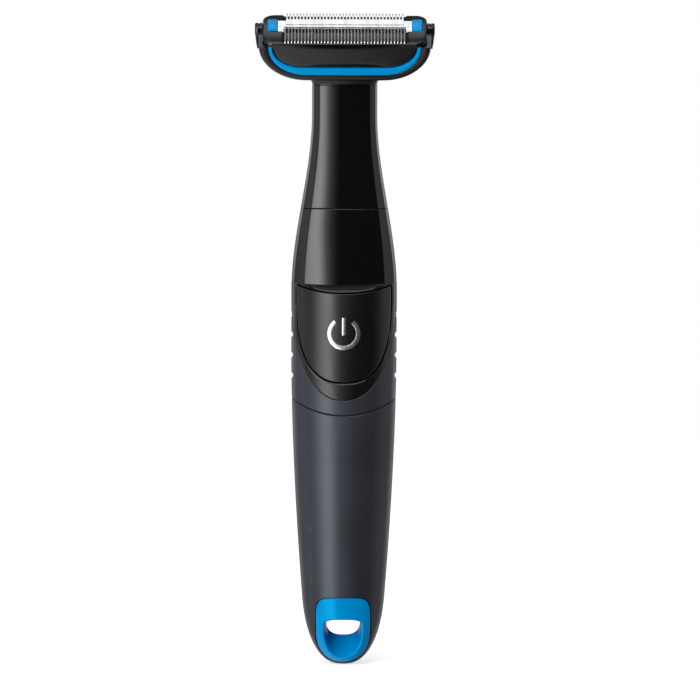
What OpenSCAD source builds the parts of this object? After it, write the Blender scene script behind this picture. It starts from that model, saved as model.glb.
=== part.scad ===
// Wet and dry body groomer: battery handle, drive train and pull-off trimming head.
// Millimetres. X runs across the head, -Y is the front with the button, +Z points to the head.

/* [Battery] */
// Diameter of the round cell
battery_d = 14.5; // [13:0.1:18]
// Length of the cell over its raised terminal
battery_len = 50.5; // [40:0.5:62]

/* [Body] */
// Greatest width of the grip
grip_w = 29.5; // [27:0.5:36]
// How much deeper the grip is than the tail
grip_swell = 5.6; // [4:0.2:8]
// Width of the tail, just above the rounded end
tail_w = 24.6; // [24:0.2:29]
// Height of the solid tail that holds the hanging hole
tail_h = 20.2; // [19:0.1:24]
// Width of the slim neck under the head
neck_w = 18.2; // [16.5:0.1:20]
// Depth of the slim neck, front to back
neck_d = 13.6; // [13:0.1:17]
// Height of the collar between the button and the neck joint
collar_h = 23.2; // [22.8:0.2:30]
// Length of the neck above its joint
neck_len = 34.3; // [32:0.1:44]
// Thickness of the outer shells
shell_wall = 1.6; // [1.2:0.1:2]

/* [Hanging hole] */
// Width of the hanging hole
hang_w = 9.4; // [7:0.2:12]
// Height of the hanging hole
hang_h = 4.8; // [4.5:0.1:6]
// Width of the coloured liner round the hole
liner_w = 15.4; // [14.5:0.1:18]

/* [Button] */
// Width of the button across its widest part
button_w = 26; // [22:0.5:27]
// Height of the button shield below the collar
button_h = 25; // [22:0.5:26]
// Travel of the button when pressed
button_travel = 0.8; // [0.4:0.1:1]
// Gap round the button
button_gap = 0.3; // [0.2:0.05:0.4]
// Diameter of the power symbol's ring
symbol_d = 9.3; // [7:0.1:11]
// Stroke of the power symbol
symbol_line = 1.3; // [1:0.1:1.6]

/* [Drive] */
// Diameter of the motor can
motor_d = 12.2; // [11:0.1:15]
// Length of the motor can
motor_len = 18; // [14:0.5:19]
// Throw of the drive pin from the shaft's axis
throw = 0.55; // [0.4:0.05:0.6]
// Diameter of the drive pin
drive_pin_d = 1.5; // [1.2:0.1:1.8]
// Diameter of the lever's pivot pin
pivot_d = 2; // [1.6:0.1:2.4]
// Swing of the lever to each side, in degrees
swing = 2; // [1:0.25:2.5]

/* [Head] */
// Width of the trimming cassette
cassette_w = 45.8; // [42:0.2:55]
// Depth of the cassette over its comb tips
cassette_d = 14.8; // [14:0.1:17]
// Forward tilt of the cutting face, in degrees
head_tilt = 32; // [24:1:36]
// Depth of the cradle below its cutting face
bowl_depth = 12.8; // [12.4:0.1:15]
// Pitch of the comb teeth
tooth_pitch = 0.92; // [0.8:0.02:1.3]

/* [Hidden] */
$fn = 48;

// Colours
slate = [0.17, 0.175, 0.195];
gloss_black = [0.03, 0.03, 0.035];
satin_black = [0.1, 0.1, 0.105];
blue = [0, 0.5, 0.82];
steel = [0.75, 0.76, 0.78];
brass = [0.8, 0.65, 0.3];

// Clearances
moving_gap = 0.3;
slip = 0.25;
fit = 0.15;
pin_play = 0.05;
eps = 0.01;

// Battery bay
carriage_wall = 0.9;
carriage_r = battery_d / 2 + slip + carriage_wall;
bay_gap = 0.5;
floor_z = tail_h;
carriage_z0 = floor_z + 1;
plate_t = 1.2;
spring_h = 3;
battery_z0 = carriage_z0 + plate_t + spring_h;
battery_z1 = battery_z0 + battery_len;
nub_h = 1.2;
contact_t = 0.4;
bulkhead_z0 = battery_z1 + contact_t + 0.2;
bulkhead_t = 2;

// Heights of the outer joints
seam_rise = 4.5;
seam_z = battery_z1 - 5.3;
shield_z0 = seam_z + seam_rise;
ledge_rise = 2.7;
ledge_z = shield_z0 + button_h + 4.9;
neck_z = ledge_z + collar_h;
neck_top = neck_z + neck_len;

// Outline of the body, as half sizes over the height
tail_d = battery_d + 2 * (slip + carriage_wall + bay_gap + shell_wall);
grip_d = tail_d + grip_swell;
taper_z = shield_z0 + 14;
taper_end = tail_h + 8.8;
slim_z0 = ledge_z;
slim_z1 = neck_z + 26;
tail_round = 20;
function smooth(s) = s <= 0 ? 0 : s >= 1 ? 1 : s * s * (3 - 2 * s);
function tail_share(z) = z >= taper_z ? 0 : pow((taper_z - z) / (taper_z - taper_end), 1.75);
function bay_share(z) = z >= taper_z ? 0 : pow((taper_z - z) / (taper_z - carriage_z0), 1.75);
function grip_share(z) = smooth((slim_z1 - z) / (slim_z1 - slim_z0));
function cap(z, n) = z >= tail_round ? 1 : pow(1 - pow((tail_round - max(z, 0.02)) / tail_round, n), 1 / n);
function half_w(z) = cap(z, 2.5) / 2
    * (neck_w + (grip_w - neck_w) * grip_share(z) - (grip_w - tail_w) * tail_share(z));
function half_d(z) = cap(z, 2.2) / 2
    * (neck_d + (grip_d - neck_d) * grip_share(z) - (grip_d - tail_d) * bay_share(z));

// Trimming head, in its own frame: x across, y to the rear, z out of the cutting face
cradle_flat = 11;
front_edge = -1.5;
rear_edge = 4;
face_z = neck_top + bowl_depth + 3.4;
face_y = -9.2;
tip_half = cassette_d / 2;
head_v = tip_half + 0.8;
apron_front = tip_half + 0.35;
apron_top = -0.45;
apron_t = 0.5;
head_front = face_y - apron_front * cos(head_tilt) - apron_top * sin(head_tilt);

// The origin is the middle of the object's box, so the body's axis lies behind it
axis_y = -(head_front + grip_d / 2) / 2;

// Lever from the eccentric to the blade
pin_z1 = neck_z + 3;
pivot_z = neck_z + 18;
carrier_w = -7.6;

// Motor
motor_z1 = neck_z - 9.5;
motor_z0 = motor_z1 - motor_len;
cam_z0 = motor_z1 + 1;
cam_z1 = cam_z0 + 5.5;

// Places a body part on the body's axis
module on_axis() {
    translate([0, axis_y, 0]) children();
}

// Places a head part on the tilted cutting face
module on_head() {
    translate([0, axis_y + face_y, face_z]) rotate([head_tilt, 0, 0]) children();
}

// One ring of an oval section, squarer for a larger n
function oval(a, b, n, z, sides) = [
    for (i = [0 : sides - 1])
        let (t = 360 * i / sides, c = cos(t), s = sin(t))
            [a * sign(c) * pow(abs(c), 2 / n), b * sign(s) * pow(abs(s), 2 / n), z]
];

// Joins a stack of rings with equal point counts into one closed solid
module stack(rings) {
    n = len(rings[0]);
    last = (len(rings) - 1) * n;
    sides = [
        for (i = [0 : len(rings) - 2], j = [0 : n - 1])
            let (k = (j + 1) % n, a = i * n, b = a + n)
                each [[a + j, b + j, b + k], [a + j, b + k, a + k]]
    ];
    ends = [[for (j = [0 : n - 1]) j], [for (j = [n - 1 : -1 : 0]) last + j]];
    polyhedron(points = [for (r = rings) each r], faces = concat(sides, ends), convexity = 6);
}

// Solid that follows the rounded grip, drawn in by inset
module grip_form(z0, z1, inset, rings = 12, ease = 1, sides = 40) {
    stack([
        for (i = [0 : rings])
            let (z = z0 + (z1 - z0) * pow(i / rings, ease))
                oval(max(half_w(z) - inset, 0.5), max(half_d(z) - inset, 0.5), 2.3, z, sides)
    ]);
}

// Section of the collar and neck: a flat front face with a facet on each side of it, and a round back.
// The share goes from 0, the grip's own oval, to 1, fully faceted.
front_points = [
    [-1, 0.35], [-0.94, 0.74], [-0.77, 1], [-0.4, 1], [0, 1], [0.4, 1], [0.77, 1], [0.94, 0.74], [1, 0.35]
];
function mix(a, b, t) = a * (1 - t) + b * t;
function oval_depth(x) = pow(max(1 - pow(abs(x), 2.3), 0), 1 / 2.3);
function facet_share(z) = 0.25 + 0.75 * smooth((z - ledge_z) / collar_h);
function section(w, d, share) = concat(
    [for (i = [0 : 14])
        let (t = 180 * i / 14, e = mix(0.87, 0.8, share))
            [w * sign(cos(t)) * pow(abs(cos(t)), e), d * pow(sin(t), e)]],
    [for (p = front_points) [w * p[0], -d * mix(oval_depth(p[0]), p[1], share)]]
);
function neck_ring(z, inset) = [
    for (p = section(half_w(z) - inset, half_d(z) - inset, facet_share(z))) [p[0], p[1], z]
];
function head_ring(w, d, level) = [
    for (p = section(w, d, 1))
        [p[0], face_y + p[1] * cos(head_tilt) - level * sin(head_tilt),
         face_z + p[1] * sin(head_tilt) + level * cos(head_tilt)]
];

// Solid that follows the collar and neck, drawn in by inset
module neck_form(z0, z1, inset, rings = 10) {
    stack([for (i = [0 : rings]) neck_ring(z0 + (z1 - z0) * i / rings, inset)]);
}

// Space above a joint that dips in the middle of the front and back
module above_arc(z, rise, gap = 0) {
    half = grip_w / 2;
    r = (half * half + rise * rise) / (2 * rise);
    translate([0, 0, z + r]) rotate([90, 0, 0]) cylinder(r = r - gap, h = 80, center = true, $fn = 96);
}

// Closed ring of round section that follows the grip's outline
module oval_seal(z, inset, r) {
    n = 40;
    m = 8;
    w = half_w(z) - inset;
    d = half_d(z) - inset;
    points = [
        for (i = [0 : n - 1], j = [0 : m - 1])
            let (t = 360 * i / n, s = 360 * j / m, c = cos(t), q = sin(t))
                [(w + r * cos(s)) * sign(c) * pow(abs(c), 2 / 2.3),
                 (d + r * cos(s)) * sign(q) * pow(abs(q), 2 / 2.3), z + r * sin(s)]
    ];
    faces = [
        for (i = [0 : n - 1], j = [0 : m - 1])
            let (a = i * m, b = ((i + 1) % n) * m, k = (j + 1) % m)
                each [[a + j, b + k, b + j], [a + j, a + k, b + k]]
    ];
    polyhedron(points = points, faces = faces, convexity = 6);
}

// Coil of round wire, swept along a helix
module coil(r, wire, h, turns, steps = 14, m = 6) {
    count = turns * steps;
    stack_points = [
        for (i = [0 : count])
            let (t = 360 * i / steps, z = wire / 2 + (h - wire) * i / count)
                [for (j = [0 : m - 1])
                    let (s = 360 * j / m, q = r + wire / 2 * cos(s))
                        [q * cos(t), q * sin(t), z + wire / 2 * sin(s)]]
    ];
    mirror([0, 1, 0]) stack(stack_points);
}

// Outline of the button shield, as a half oval that hangs from the ledge
module shield(w, h, n) {
    polygon([
        for (i = [0 : 36])
            let (t = 180 + 180 * i / 36, c = cos(t), s = sin(t))
                [w / 2 * sign(c) * pow(abs(c), 2 / n), h * sign(s) * pow(abs(s), 2 / n)],
        [w / 2, 6],
        [-w / 2, 6]
    ]);
}

// Stands an outline up in the front of the body, from a given place forwards
module front_prism(z, from = 0) {
    translate([0, from, z]) rotate([90, 0, 0]) linear_extrude(40) children();
}

shield_top = ledge_z - 1.9;
bezel_w = grip_w - 0.4;
bezel_edge = 5;
bezel_y = -3;
button_y = -5.5;
module bezel_outline(grow = 0) {
    front_prism(shield_top, bezel_y) shield(bezel_w + 2 * grow, shield_top - shield_z0 + grow, 2.2);
}
module button_outline(grow = 0, behind = 0) {
    front_prism(shield_top, button_y + behind)
        shield(button_w + 2 * grow, shield_top - shield_z0 - bezel_edge + grow, 2.6);
}

// ---- Battery cover ----

// Outline of the liner: a squarer arch above and a half oval below
liner_mid = 9.6;
liner_top = tail_h - 0.8;
liner_foot = 0.7;
module liner_plan(grow = 0) {
    polygon([
        for (i = [0 : 59])
            let (c = cos(6 * i), s = sin(6 * i), n = s > 0 ? 6 : 2)
            let (h = s > 0 ? liner_top - liner_mid : liner_mid - liner_foot)
                [
                    (liner_w / 2 + grow) * sign(c) * pow(abs(c), 2 / n),
                    liner_mid + (h + grow) * sign(s) * pow(abs(s), 2 / n)
                ]
    ]);
}

hang_z = 8.2;
module hang_slot() {
    hull() {
        for (s = [-1, 1]) {
            translate([s * (hang_w - hang_h) / 2, 0, hang_z + hang_h / 2]) rotate([90, 0, 0])
                cylinder(d = hang_h, h = 60, center = true, $fn = 32);
        }
    }
}

// Scooped mouth in front of the hanging hole
module hang_scoop() {
    hull() {
        translate([-hang_w / 2 + 1, -half_d(10) - 2, 3]) cube([hang_w - 2, 0.5, hang_h + 4.8]);
        translate([-hang_w / 2 - 0.6, -half_d(10) - 2, 4.6]) cube([hang_w + 1.2, 0.5, hang_h + 2.6]);
        translate([-hang_w / 2 + 1.6, 0.5, hang_z + 0.4]) cube([hang_w - 3.2, 0.5, hang_h - 0.8]);
    }
}

module battery_cover() {
    color(slate) on_axis() difference() {
        grip_form(0, seam_z + seam_rise + 1.5, 0, 26, 1.35);
        above_arc(seam_z, seam_rise);
        grip_form(floor_z, seam_z + seam_rise + 3, shell_wall, 10);
        hang_slot();
        front_prism(0) liner_plan(fit);
    }
}

module loop_liner() {
    color(blue) on_axis() difference() {
        intersection() {
            grip_form(0.3, tail_h + 1, 0, 16, 1.35);
            front_prism(0) liner_plan();
        }
        hang_slot();
        hang_scoop();
    }
}

// ---- Battery bay ----

spigot_z0 = seam_z - 5;
spigot_inset = shell_wall + moving_gap;
seal_r = 0.6;
strip_w = 3;
strip_z1 = bulkhead_z0 + bulkhead_t + 4;

module strip_form(z0, z1, grow = 0) {
    translate([-strip_w / 2 - grow, carriage_r - 0.4 - grow, z0])
        cube([strip_w + 2 * grow, 0.3 + 2 * grow, z1 - z0]);
}

// Tab that takes the positive side up through the bulkhead
module contact_tab(grow = 0) {
    translate([-1.5 - grow, 3 - grow, battery_z1 + eps]) cube([3 + 2 * grow, 0.4 + 2 * grow, bulkhead_t + 5]);
}

module battery_carriage() {
    color(satin_black) on_axis() difference() {
        union() {
            translate([0, 0, carriage_z0]) cylinder(r = carriage_r, h = bulkhead_z0 - carriage_z0 + eps);
            grip_form(spigot_z0, bulkhead_z0 + bulkhead_t, spigot_inset, 6);
        }
        translate([0, 0, carriage_z0 + plate_t])
            cylinder(d = battery_d + 2 * slip, h = bulkhead_z0 - carriage_z0 - plate_t);
        translate([-battery_d * 0.36, -carriage_r - 1, battery_z0 + 2])
            cube([battery_d * 0.72, carriage_r, spigot_z0 - battery_z0 - 5]);
        oval_seal(spigot_z0 + 2.4, spigot_inset + seal_r, seal_r + 0.05);
        strip_form(carriage_z0 + 0.4, strip_z1 + 1, 0.06);
        contact_tab(0.1);
    }
}

module seal_ring() {
    color([0.2, 0.2, 0.2]) on_axis() oval_seal(spigot_z0 + 2.4, spigot_inset + seal_r, seal_r);
}

module battery_can() {
    h = battery_len - nub_h - 0.3;
    color(steel) on_axis() translate([0, 0, battery_z0]) rotate_extrude() polygon([
        [0, 0], [battery_d / 2 - 0.6, 0], [battery_d / 2, 0.6],
        [battery_d / 2, h - 1], [battery_d / 2 - 1, h], [0, h]
    ]);
}

module battery_terminal() {
    color(brass) on_axis() translate([0, 0, battery_z1 - nub_h - 0.3]) rotate_extrude() polygon([
        [0, 0], [5.6, 0], [5.6, 0.3], [2.75, 0.3], [2.75, nub_h], [2.45, nub_h + 0.3], [0, nub_h + 0.3]
    ]);
}

module negative_spring() {
    color(steel) on_axis() translate([0, 0, carriage_z0 + plate_t]) coil(3.4, 0.7, spring_h, 3);
}

module negative_strip() {
    color(steel) on_axis() strip_form(carriage_z0 + 0.6, strip_z1);
}

module positive_contact() {
    color(brass) on_axis() union() {
        translate([-2.6, -2.6, battery_z1 + eps]) cube([5.2, 6, contact_t]);
        contact_tab();
    }
}

// ---- Grip and collar ----

notch_pitch = 5.7;
notch_z0 = taper_z - 7.9;
module grip_notches() {
    for (s = [-1, 1], i = [0 : 3]) {
        translate([s * (grip_w / 2 + 0.75), 0, notch_z0 + i * notch_pitch]) rotate([90, 0, 0])
            cylinder(r = 1.1, h = 9, center = true, $fn = 24);
    }
}

module grip_shell() {
    top = ledge_z + ledge_rise + 1;
    color(slate) on_axis() difference() {
        intersection() {
            grip_form(seam_z - 1, top, 0, 12);
            above_arc(seam_z, seam_rise, fit);
        }
        grip_form(seam_z - 2, top + 1, shell_wall, 8);
        above_arc(ledge_z, ledge_rise);
        bezel_outline(0.1);
        grip_notches();
    }
}

module collar_shell() {
    color(gloss_black) on_axis() intersection() {
        difference() {
            neck_form(ledge_z - 0.5, neck_z, 0, 8);
            neck_form(ledge_z - 1, neck_z + 1, shell_wall, 6);
        }
        above_arc(ledge_z, ledge_rise, 0.1);
    }
}

module button_bezel() {
    color(gloss_black) on_axis() difference() {
        intersection() {
            grip_form(shield_z0 - 1, ledge_z + ledge_rise + 1, 0, 12);
            bezel_outline();
        }
        grip_form(shield_z0 - 2, ledge_z + ledge_rise + 2, shell_wall, 8);
        button_outline(button_gap, button_travel + moving_gap);
        above_arc(ledge_z, ledge_rise);
    }
}

// ---- Button and switch ----

button_proud = 0.2;
symbol_z = shield_z0 + 18.6;
button_z = symbol_z;
button_back = -half_d(button_z) + shell_wall;

module symbol_outline(grow = 0) {
    r = symbol_d / 2;
    gap = 36;
    difference() {
        circle(r = r + grow, $fn = 64);
        circle(r = r - symbol_line - grow, $fn = 64);
        polygon([[0, 0], 2 * r * [-sin(gap), cos(gap)], 2 * r * [0, 1.2], 2 * r * [sin(gap), cos(gap)]]);
    }
    for (s = [-1, 1]) {
        rotate(s * gap) translate([0, r - symbol_line / 2]) circle(d = symbol_line, $fn = 24);
    }
    translate([-0.55 - grow, -0.5 - grow]) square([1.1 + 2 * grow, 4.9 + 2 * grow]);
}

symbol_depth = 0.4;
module symbol_prism(grow = 0) {
    front_prism(symbol_z, -5) symbol_outline(grow);
}

module on_off_button() {
    color(satin_black) on_axis() difference() {
        intersection() {
            grip_form(shield_z0 - 1, ledge_z + ledge_rise + 1, -button_proud, 14, 1, 56);
            button_outline();
        }
        grip_form(shield_z0 - 2, ledge_z + ledge_rise + 2, shell_wall, 8);
        above_arc(ledge_z, ledge_rise, -button_gap);
        difference() {
            symbol_prism();
            translate([0, -half_d(symbol_z) + symbol_depth + 20, symbol_z]) cube([30, 40, 30], center = true);
        }
    }
}

module power_symbol() {
    color(steel) on_axis() intersection() {
        grip_form(symbol_z - 9, symbol_z + 9, -button_proud - 0.08, 8, 1, 56);
        difference() {
            symbol_prism();
            translate([0, -half_d(symbol_z) + symbol_depth + 20, symbol_z]) cube([30, 40, 30], center = true);
        }
    }
}

board_y = -3;
board_t = 1;
switch_t = 3.4;
switch_y0 = board_y - board_t - switch_t;
plunger_len = 1.4;
module button_stem() {
    tip = switch_y0 - plunger_len + 0.4;
    color(satin_black) on_axis() translate([0, tip, button_z]) rotate([90, 0, 0]) {
        cylinder(d = 3.2, h = tip - button_back - 0.5);
        translate([0, 0, tip - button_back - 1.2]) cylinder(d = 6, h = 0.9);
    }
}

module switch_plunger() {
    color(brass) on_axis() translate([0, switch_y0 + 0.4, button_z]) rotate([90, 0, 0])
        cylinder(d = 2.4, h = plunger_len);
}

module switch_body() {
    color([0.15, 0.15, 0.16]) on_axis() difference() {
        translate([-3, switch_y0, button_z - 3]) cube([6, switch_t, 6]);
        translate([0, switch_y0 + 2.2, button_z]) rotate([90, 0, 0]) cylinder(d = 2.4 + 2 * pin_play, h = 4);
    }
}

// Silicone skin behind the button, with a collar round the stem
seal_w = 13;
module button_seal() {
    y = button_back + 2.4;
    collar = switch_y0 - moving_gap - y;
    color([0.3, 0.3, 0.32]) on_axis() difference() {
        union() {
            translate([-seal_w / 2, y, button_z - 7]) cube([seal_w, 0.8, 14]);
            translate([0, y + collar, button_z]) rotate([90, 0, 0]) cylinder(d = 7, h = collar);
        }
        translate([0, y + 5, button_z]) rotate([90, 0, 0]) cylinder(d = 3.2 + 2 * pin_play, h = 10);
    }
}

board_z0 = bulkhead_z0 + bulkhead_t + 0.6;
board_z1 = motor_z0 - 3.6;
board_w = 15;
lead_x = 3.5;
lead_d = 0.9;
tab_h = 2.4;
module circuit_board() {
    color([0.05, 0.3, 0.15]) on_axis() difference() {
        translate([-board_w / 2, board_y - board_t, board_z0]) cube([board_w, board_t, board_z1 - board_z0]);
        for (s = [-1, 1]) {
            translate([s * lead_x, board_y + 1, board_z1 - 1.6]) rotate([90, 0, 0])
                cylinder(d = 1, h = 3, $fn = 24);
        }
    }
}

module board_parts() {
    color([0.2, 0.2, 0.2]) on_axis() {
        translate([-5.5, board_y, board_z0 + 3]) cube([4, 1.2, 3]);
        translate([1.5, board_y, board_z0 + 4]) cube([3, 0.9, 1.6]);
        translate([3.4, board_y, button_z - 1]) rotate([-90, 0, 0]) cylinder(d = 4, h = 4.6, $fn = 32);
    }
}

module lead_wires() {
    low = board_z1 - 1.6;
    back = board_y - board_t - 0.3;
    color([0.7, 0.1, 0.1]) on_axis() for (s = [-1, 1]) {
        translate([s * lead_x, back, low]) rotate([-90, 0, 0]) cylinder(d = lead_d, h = -back, $fn = 16);
        translate([s * lead_x, 0, low]) sphere(d = lead_d, $fn = 16);
        translate([s * lead_x, 0, low]) cylinder(d = lead_d, h = motor_z0 - tab_h - low, $fn = 16);
    }
}

// ---- Motor ----

screw_x = 4.2;
shaft_d = 1.5;
module motor_screw_axes() {
    for (s = [-1, 1]) {
        translate([s * screw_x, 0, motor_z1]) children();
    }
}

module motor_can() {
    color(steel) on_axis() difference() {
        translate([0, 0, motor_z0 + 1]) cylinder(d = motor_d, h = motor_len - 1);
        translate([0, 0, motor_z0]) cylinder(d = motor_d - 1.2, h = motor_len - 2);
        translate([0, 0, motor_z1 - 3]) cylinder(d = 3, h = 4);
        motor_screw_axes() translate([0, 0, -1.5]) cylinder(d = 1.5, h = 2, $fn = 24);
    }
}

module motor_end_cap() {
    color([0.85, 0.85, 0.8]) on_axis() difference() {
        translate([0, 0, motor_z0]) cylinder(d = motor_d, h = 1);
        translate([0, 0, motor_z0 - 1]) cylinder(d = shaft_d + 2 * pin_play, h = 3, $fn = 24);
    }
}

module motor_terminals() {
    color(brass) on_axis() for (s = [-1, 1]) {
        translate([s * lead_x - 0.75, -0.2, motor_z0 - tab_h]) cube([1.5, 0.4, tab_h]);
    }
}

module motor_shaft() {
    foot = motor_z0 - 0.6;
    color(steel) on_axis() translate([0, 0, foot]) cylinder(d = shaft_d, h = cam_z1 - 1 - foot, $fn = 24);
}

cam_d = 4.8;
module eccentric() {
    color([0.9, 0.9, 0.88]) on_axis() difference() {
        union() {
            translate([0, 0, cam_z0]) cylinder(d = cam_d, h = cam_z1 - cam_z0);
            translate([0, throw, cam_z1 - eps]) cylinder(d = drive_pin_d, h = pin_z1 - cam_z1, $fn = 24);
        }
        translate([0, 0, cam_z0 - 1]) cylinder(d = shaft_d, h = cam_z1 - cam_z0, $fn = 24);
    }
}

module motor_holder() {
    flat_y = -(motor_d / 2 + 4.1);
    color(satin_black) on_axis() difference() {
        neck_form(motor_z1 - 7, motor_z1 + 1, shell_wall + fit, 4);
        translate([-grip_w, flat_y - grip_w, motor_z1 - 8]) cube([2 * grip_w, grip_w, 10]);
        translate([0, 0, motor_z1 - 8]) cylinder(d = motor_d + 2 * pin_play, h = 8);
        translate([0, 0, motor_z1 - 1]) cylinder(d = cam_d + 1, h = 3);
        motor_screw_axes() translate([0, 0, -1]) cylinder(d = 1.7, h = 3, $fn = 24);
    }
}

module motor_screws() {
    color(steel) on_axis() motor_screw_axes() union() {
        translate([0, 0, -1.4]) cylinder(d = 1.4, h = 2.5, $fn = 24);
        difference() {
            translate([0, 0, 1]) cylinder(d = 2.4, h = 0.8, $fn = 24);
            translate([0, 0, 1.8]) cube([0.4, 3, 0.6], center = true);
        }
    }
}

// ---- Neck joint ----

deck_z = neck_z - 6;
spigot_top = neck_z + 6;
spigot_wall = 1.2;
neck_spigot_inset = shell_wall + moving_gap;
boot_r = drive_pin_d / 2 + throw + 0.2;

// Band that runs round the spigot, between two heights and two insets
module spigot_band(z0, z1, outer, inner) {
    difference() {
        neck_form(z0, z1, outer, 2);
        neck_form(z0 - 1, z1 + 1, inner, 2);
    }
}

spigot_seal_z = neck_z + 2.4;
module spigot_ring() {
    color(satin_black) on_axis() difference() {
        neck_form(deck_z, spigot_top, neck_spigot_inset, 6);
        neck_form(deck_z + 1.6, spigot_top + 1, neck_spigot_inset + spigot_wall, 6);
        translate([0, 0, deck_z - 1]) cylinder(r = cam_d / 2 + 0.4, h = 4);
        spigot_band(spigot_seal_z, spigot_seal_z + 1.4, neck_spigot_inset - 0.5, neck_spigot_inset + 0.5);
    }
}

module spigot_seal() {
    outer = neck_spigot_inset + 0.02;
    color([0.25, 0.25, 0.27]) on_axis()
        spigot_band(spigot_seal_z + 0.05, spigot_seal_z + 1.35, outer, outer + 0.44);
}

module shaft_boot() {
    foot = cam_d / 2 + 0.3;
    top = cam_z1 - deck_z;
    color([0.25, 0.25, 0.27]) on_axis() translate([0, 0, deck_z + 1.6]) rotate_extrude() polygon([
        [foot, 0], [foot + 1.5, 0], [foot + 1.5, 0.7], [foot + 0.7, 0.9], [boot_r + 0.7, top - 0.2],
        [boot_r, top - 0.2], [boot_r, top - 0.9], [foot, top - 1.3]
    ]);
}

neck_split = 1.5;
boss_y = 3.1;
module neck_hollow() {
    neck_form(neck_z - 1, neck_top + 1, shell_wall, 8);
}

module neck_boss(s) {
    intersection() {
        translate([0, s * boss_y, pivot_z]) rotate([-s * 90, 0, 0]) cylinder(d = pivot_d + 2.4, h = 10);
        neck_form(pivot_z - 4, pivot_z + 4, shell_wall / 2, 2);
    }
}

module pivot_bore() {
    translate([0, 0, pivot_z]) rotate([90, 0, 0])
        cylinder(d = pivot_d + 0.04, h = 2 * (half_d(pivot_z) - 1), center = true);
}

module neck_front_shell() {
    color(gloss_black) on_axis() difference() {
        union() {
            difference() {
                neck_form(neck_z + 0.15, neck_top, 0, 12);
                neck_hollow();
                translate([-40, neck_split, 0]) cube([80, 80, 400]);
            }
            neck_boss(-1);
        }
        pivot_bore();
    }
}

module neck_rear_shell() {
    color(gloss_black) on_axis() difference() {
        union() {
            difference() {
                neck_form(neck_z + 0.15, neck_top, 0, 12);
                neck_hollow();
                translate([-40, neck_split + 0.06 - 80, 0]) cube([80, 80, 400]);
            }
            neck_boss(1);
        }
        pivot_bore();
    }
}

module lever_pin() {
    color(steel) on_axis() translate([0, 0, pivot_z]) rotate([90, 0, 0])
        cylinder(d = pivot_d, h = 2 * (half_d(pivot_z) - 1.2), center = true);
}

// ---- Drive lever ----

lever_d = 3.6;
tip_d = 3;
tip_top = carrier_w + 1;
bend_w = (neck_top + 1.6 - face_z) / cos(head_tilt);
fork_z0 = neck_z + 0.6;
// Room for the pin's throw and for the fork's own swing at its lowest point
slot_half = drive_pin_d / 2 + throw + (pivot_z - fork_z0) * sin(swing) + 0.1;

// Bearing of the lever on its pin, drawn as a cylinder along the pin
module pivot_form(d, h) {
    translate([0, 0, pivot_z]) rotate([90, 0, 0]) cylinder(d = d, h = h, center = true);
}

// Block that takes the drive pin between two cheeks
module fork_form(half, deep, z0, z1) {
    translate([-half, -deep, z0]) cube([2 * half, 2 * deep, z1 - z0]);
}

module drive_lever() {
    bend_z = neck_top + 1.6;
    color([0.85, 0.85, 0.82]) difference() {
        union() {
            on_axis() {
                translate([0, 0, pin_z1]) cylinder(d = lever_d, h = pivot_z - pin_z1);
                translate([0, 0, pivot_z]) cylinder(d = lever_d, h = bend_z - pivot_z);
                pivot_form(6, 2 * boss_y - 0.6);
                fork_form(slot_half + 1.3, 3.2, fork_z0, pin_z1 + 1.4);
                translate([0, 0, bend_z]) sphere(d = lever_d, $fn = 32);
            }
            on_head() translate([0, 0, bend_w]) cylinder(d = tip_d, h = tip_top - bend_w);
        }
        on_axis() fork_form(slot_half, 4, fork_z0 - 1, pin_z1 + 0.3);
        on_axis() pivot_form(pivot_d + 2 * pin_play, 20);
    }
}

// ---- Trimming head ----

arm_top = -1.8;
flange_w = 1.4;

// Bowl outline in the head's x and z: straight arms that curve into a flat bottom
module bowl(half, flat, depth, top = arm_top) {
    polygon([
        [half, top],
        for (i = [0 : 18])
            let (t = 90 * i / 18)
                [flat + (half - flat) * cos(t), top - 0.4 - (depth + top + 0.4) * sin(t)],
        for (i = [18 : -1 : 0])
            let (t = 90 * i / 18)
                [-flat - (half - flat) * cos(t), top - 0.4 - (depth + top + 0.4) * sin(t)],
        [-half, top]
    ]);
}

module head_prism(depth) {
    rotate([90, 0, 0]) linear_extrude(2 * depth, center = true) children();
}

catch_v = 1.9;
catch_level = -2.2;
catch_r = 2;
arm_half = cassette_w / 2 + 1;
band_half = arm_half - 2.3;
tray_half = band_half - 1.1;
band_depth = bowl_depth - 2.9;
tray_depth = band_depth - 2.3;

// Openings in line for the lever and the carrier's foot
module drive_window() {
    translate([-5, -3.6, -bowl_depth - 1]) cube([10, 7.2, bowl_depth - 5]);
}

// Side view of the cradle, with rounded lower edges
module cradle_side() {
    r = 2;
    rotate([90, 0, 90]) linear_extrude(cassette_w + 20, center = true) offset(r = r)
        translate([-head_v + r, -bowl_depth + r]) square([2 * head_v - 2 * r, bowl_depth + 5]);
}

module head_cradle() {
    color(satin_black) on_head() difference() {
        intersection() {
            head_prism(head_v) bowl(arm_half, cradle_flat, bowl_depth);
            cradle_side();
        }
        head_prism(head_v + 1) bowl(band_half, cradle_flat, band_depth, arm_top + eps);
        drive_window();
        for (s = [-1, 1]) {
            translate([s * (arm_half + band_half + 3) / 2, catch_v, catch_level]) rotate([0, 90, 0])
                cylinder(r = catch_r + fit, h = arm_half - band_half + 2, center = true);
        }
    }
}

module blue_band() {
    color(blue) on_head() difference() {
        head_prism(head_v + 0.15) bowl(band_half - 0.02, cradle_flat - 0.02, band_depth - 0.02);
        head_prism(head_v + 1) bowl(tray_half, cradle_flat + 1, tray_depth, arm_top + eps);
        drive_window();
    }
}

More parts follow.
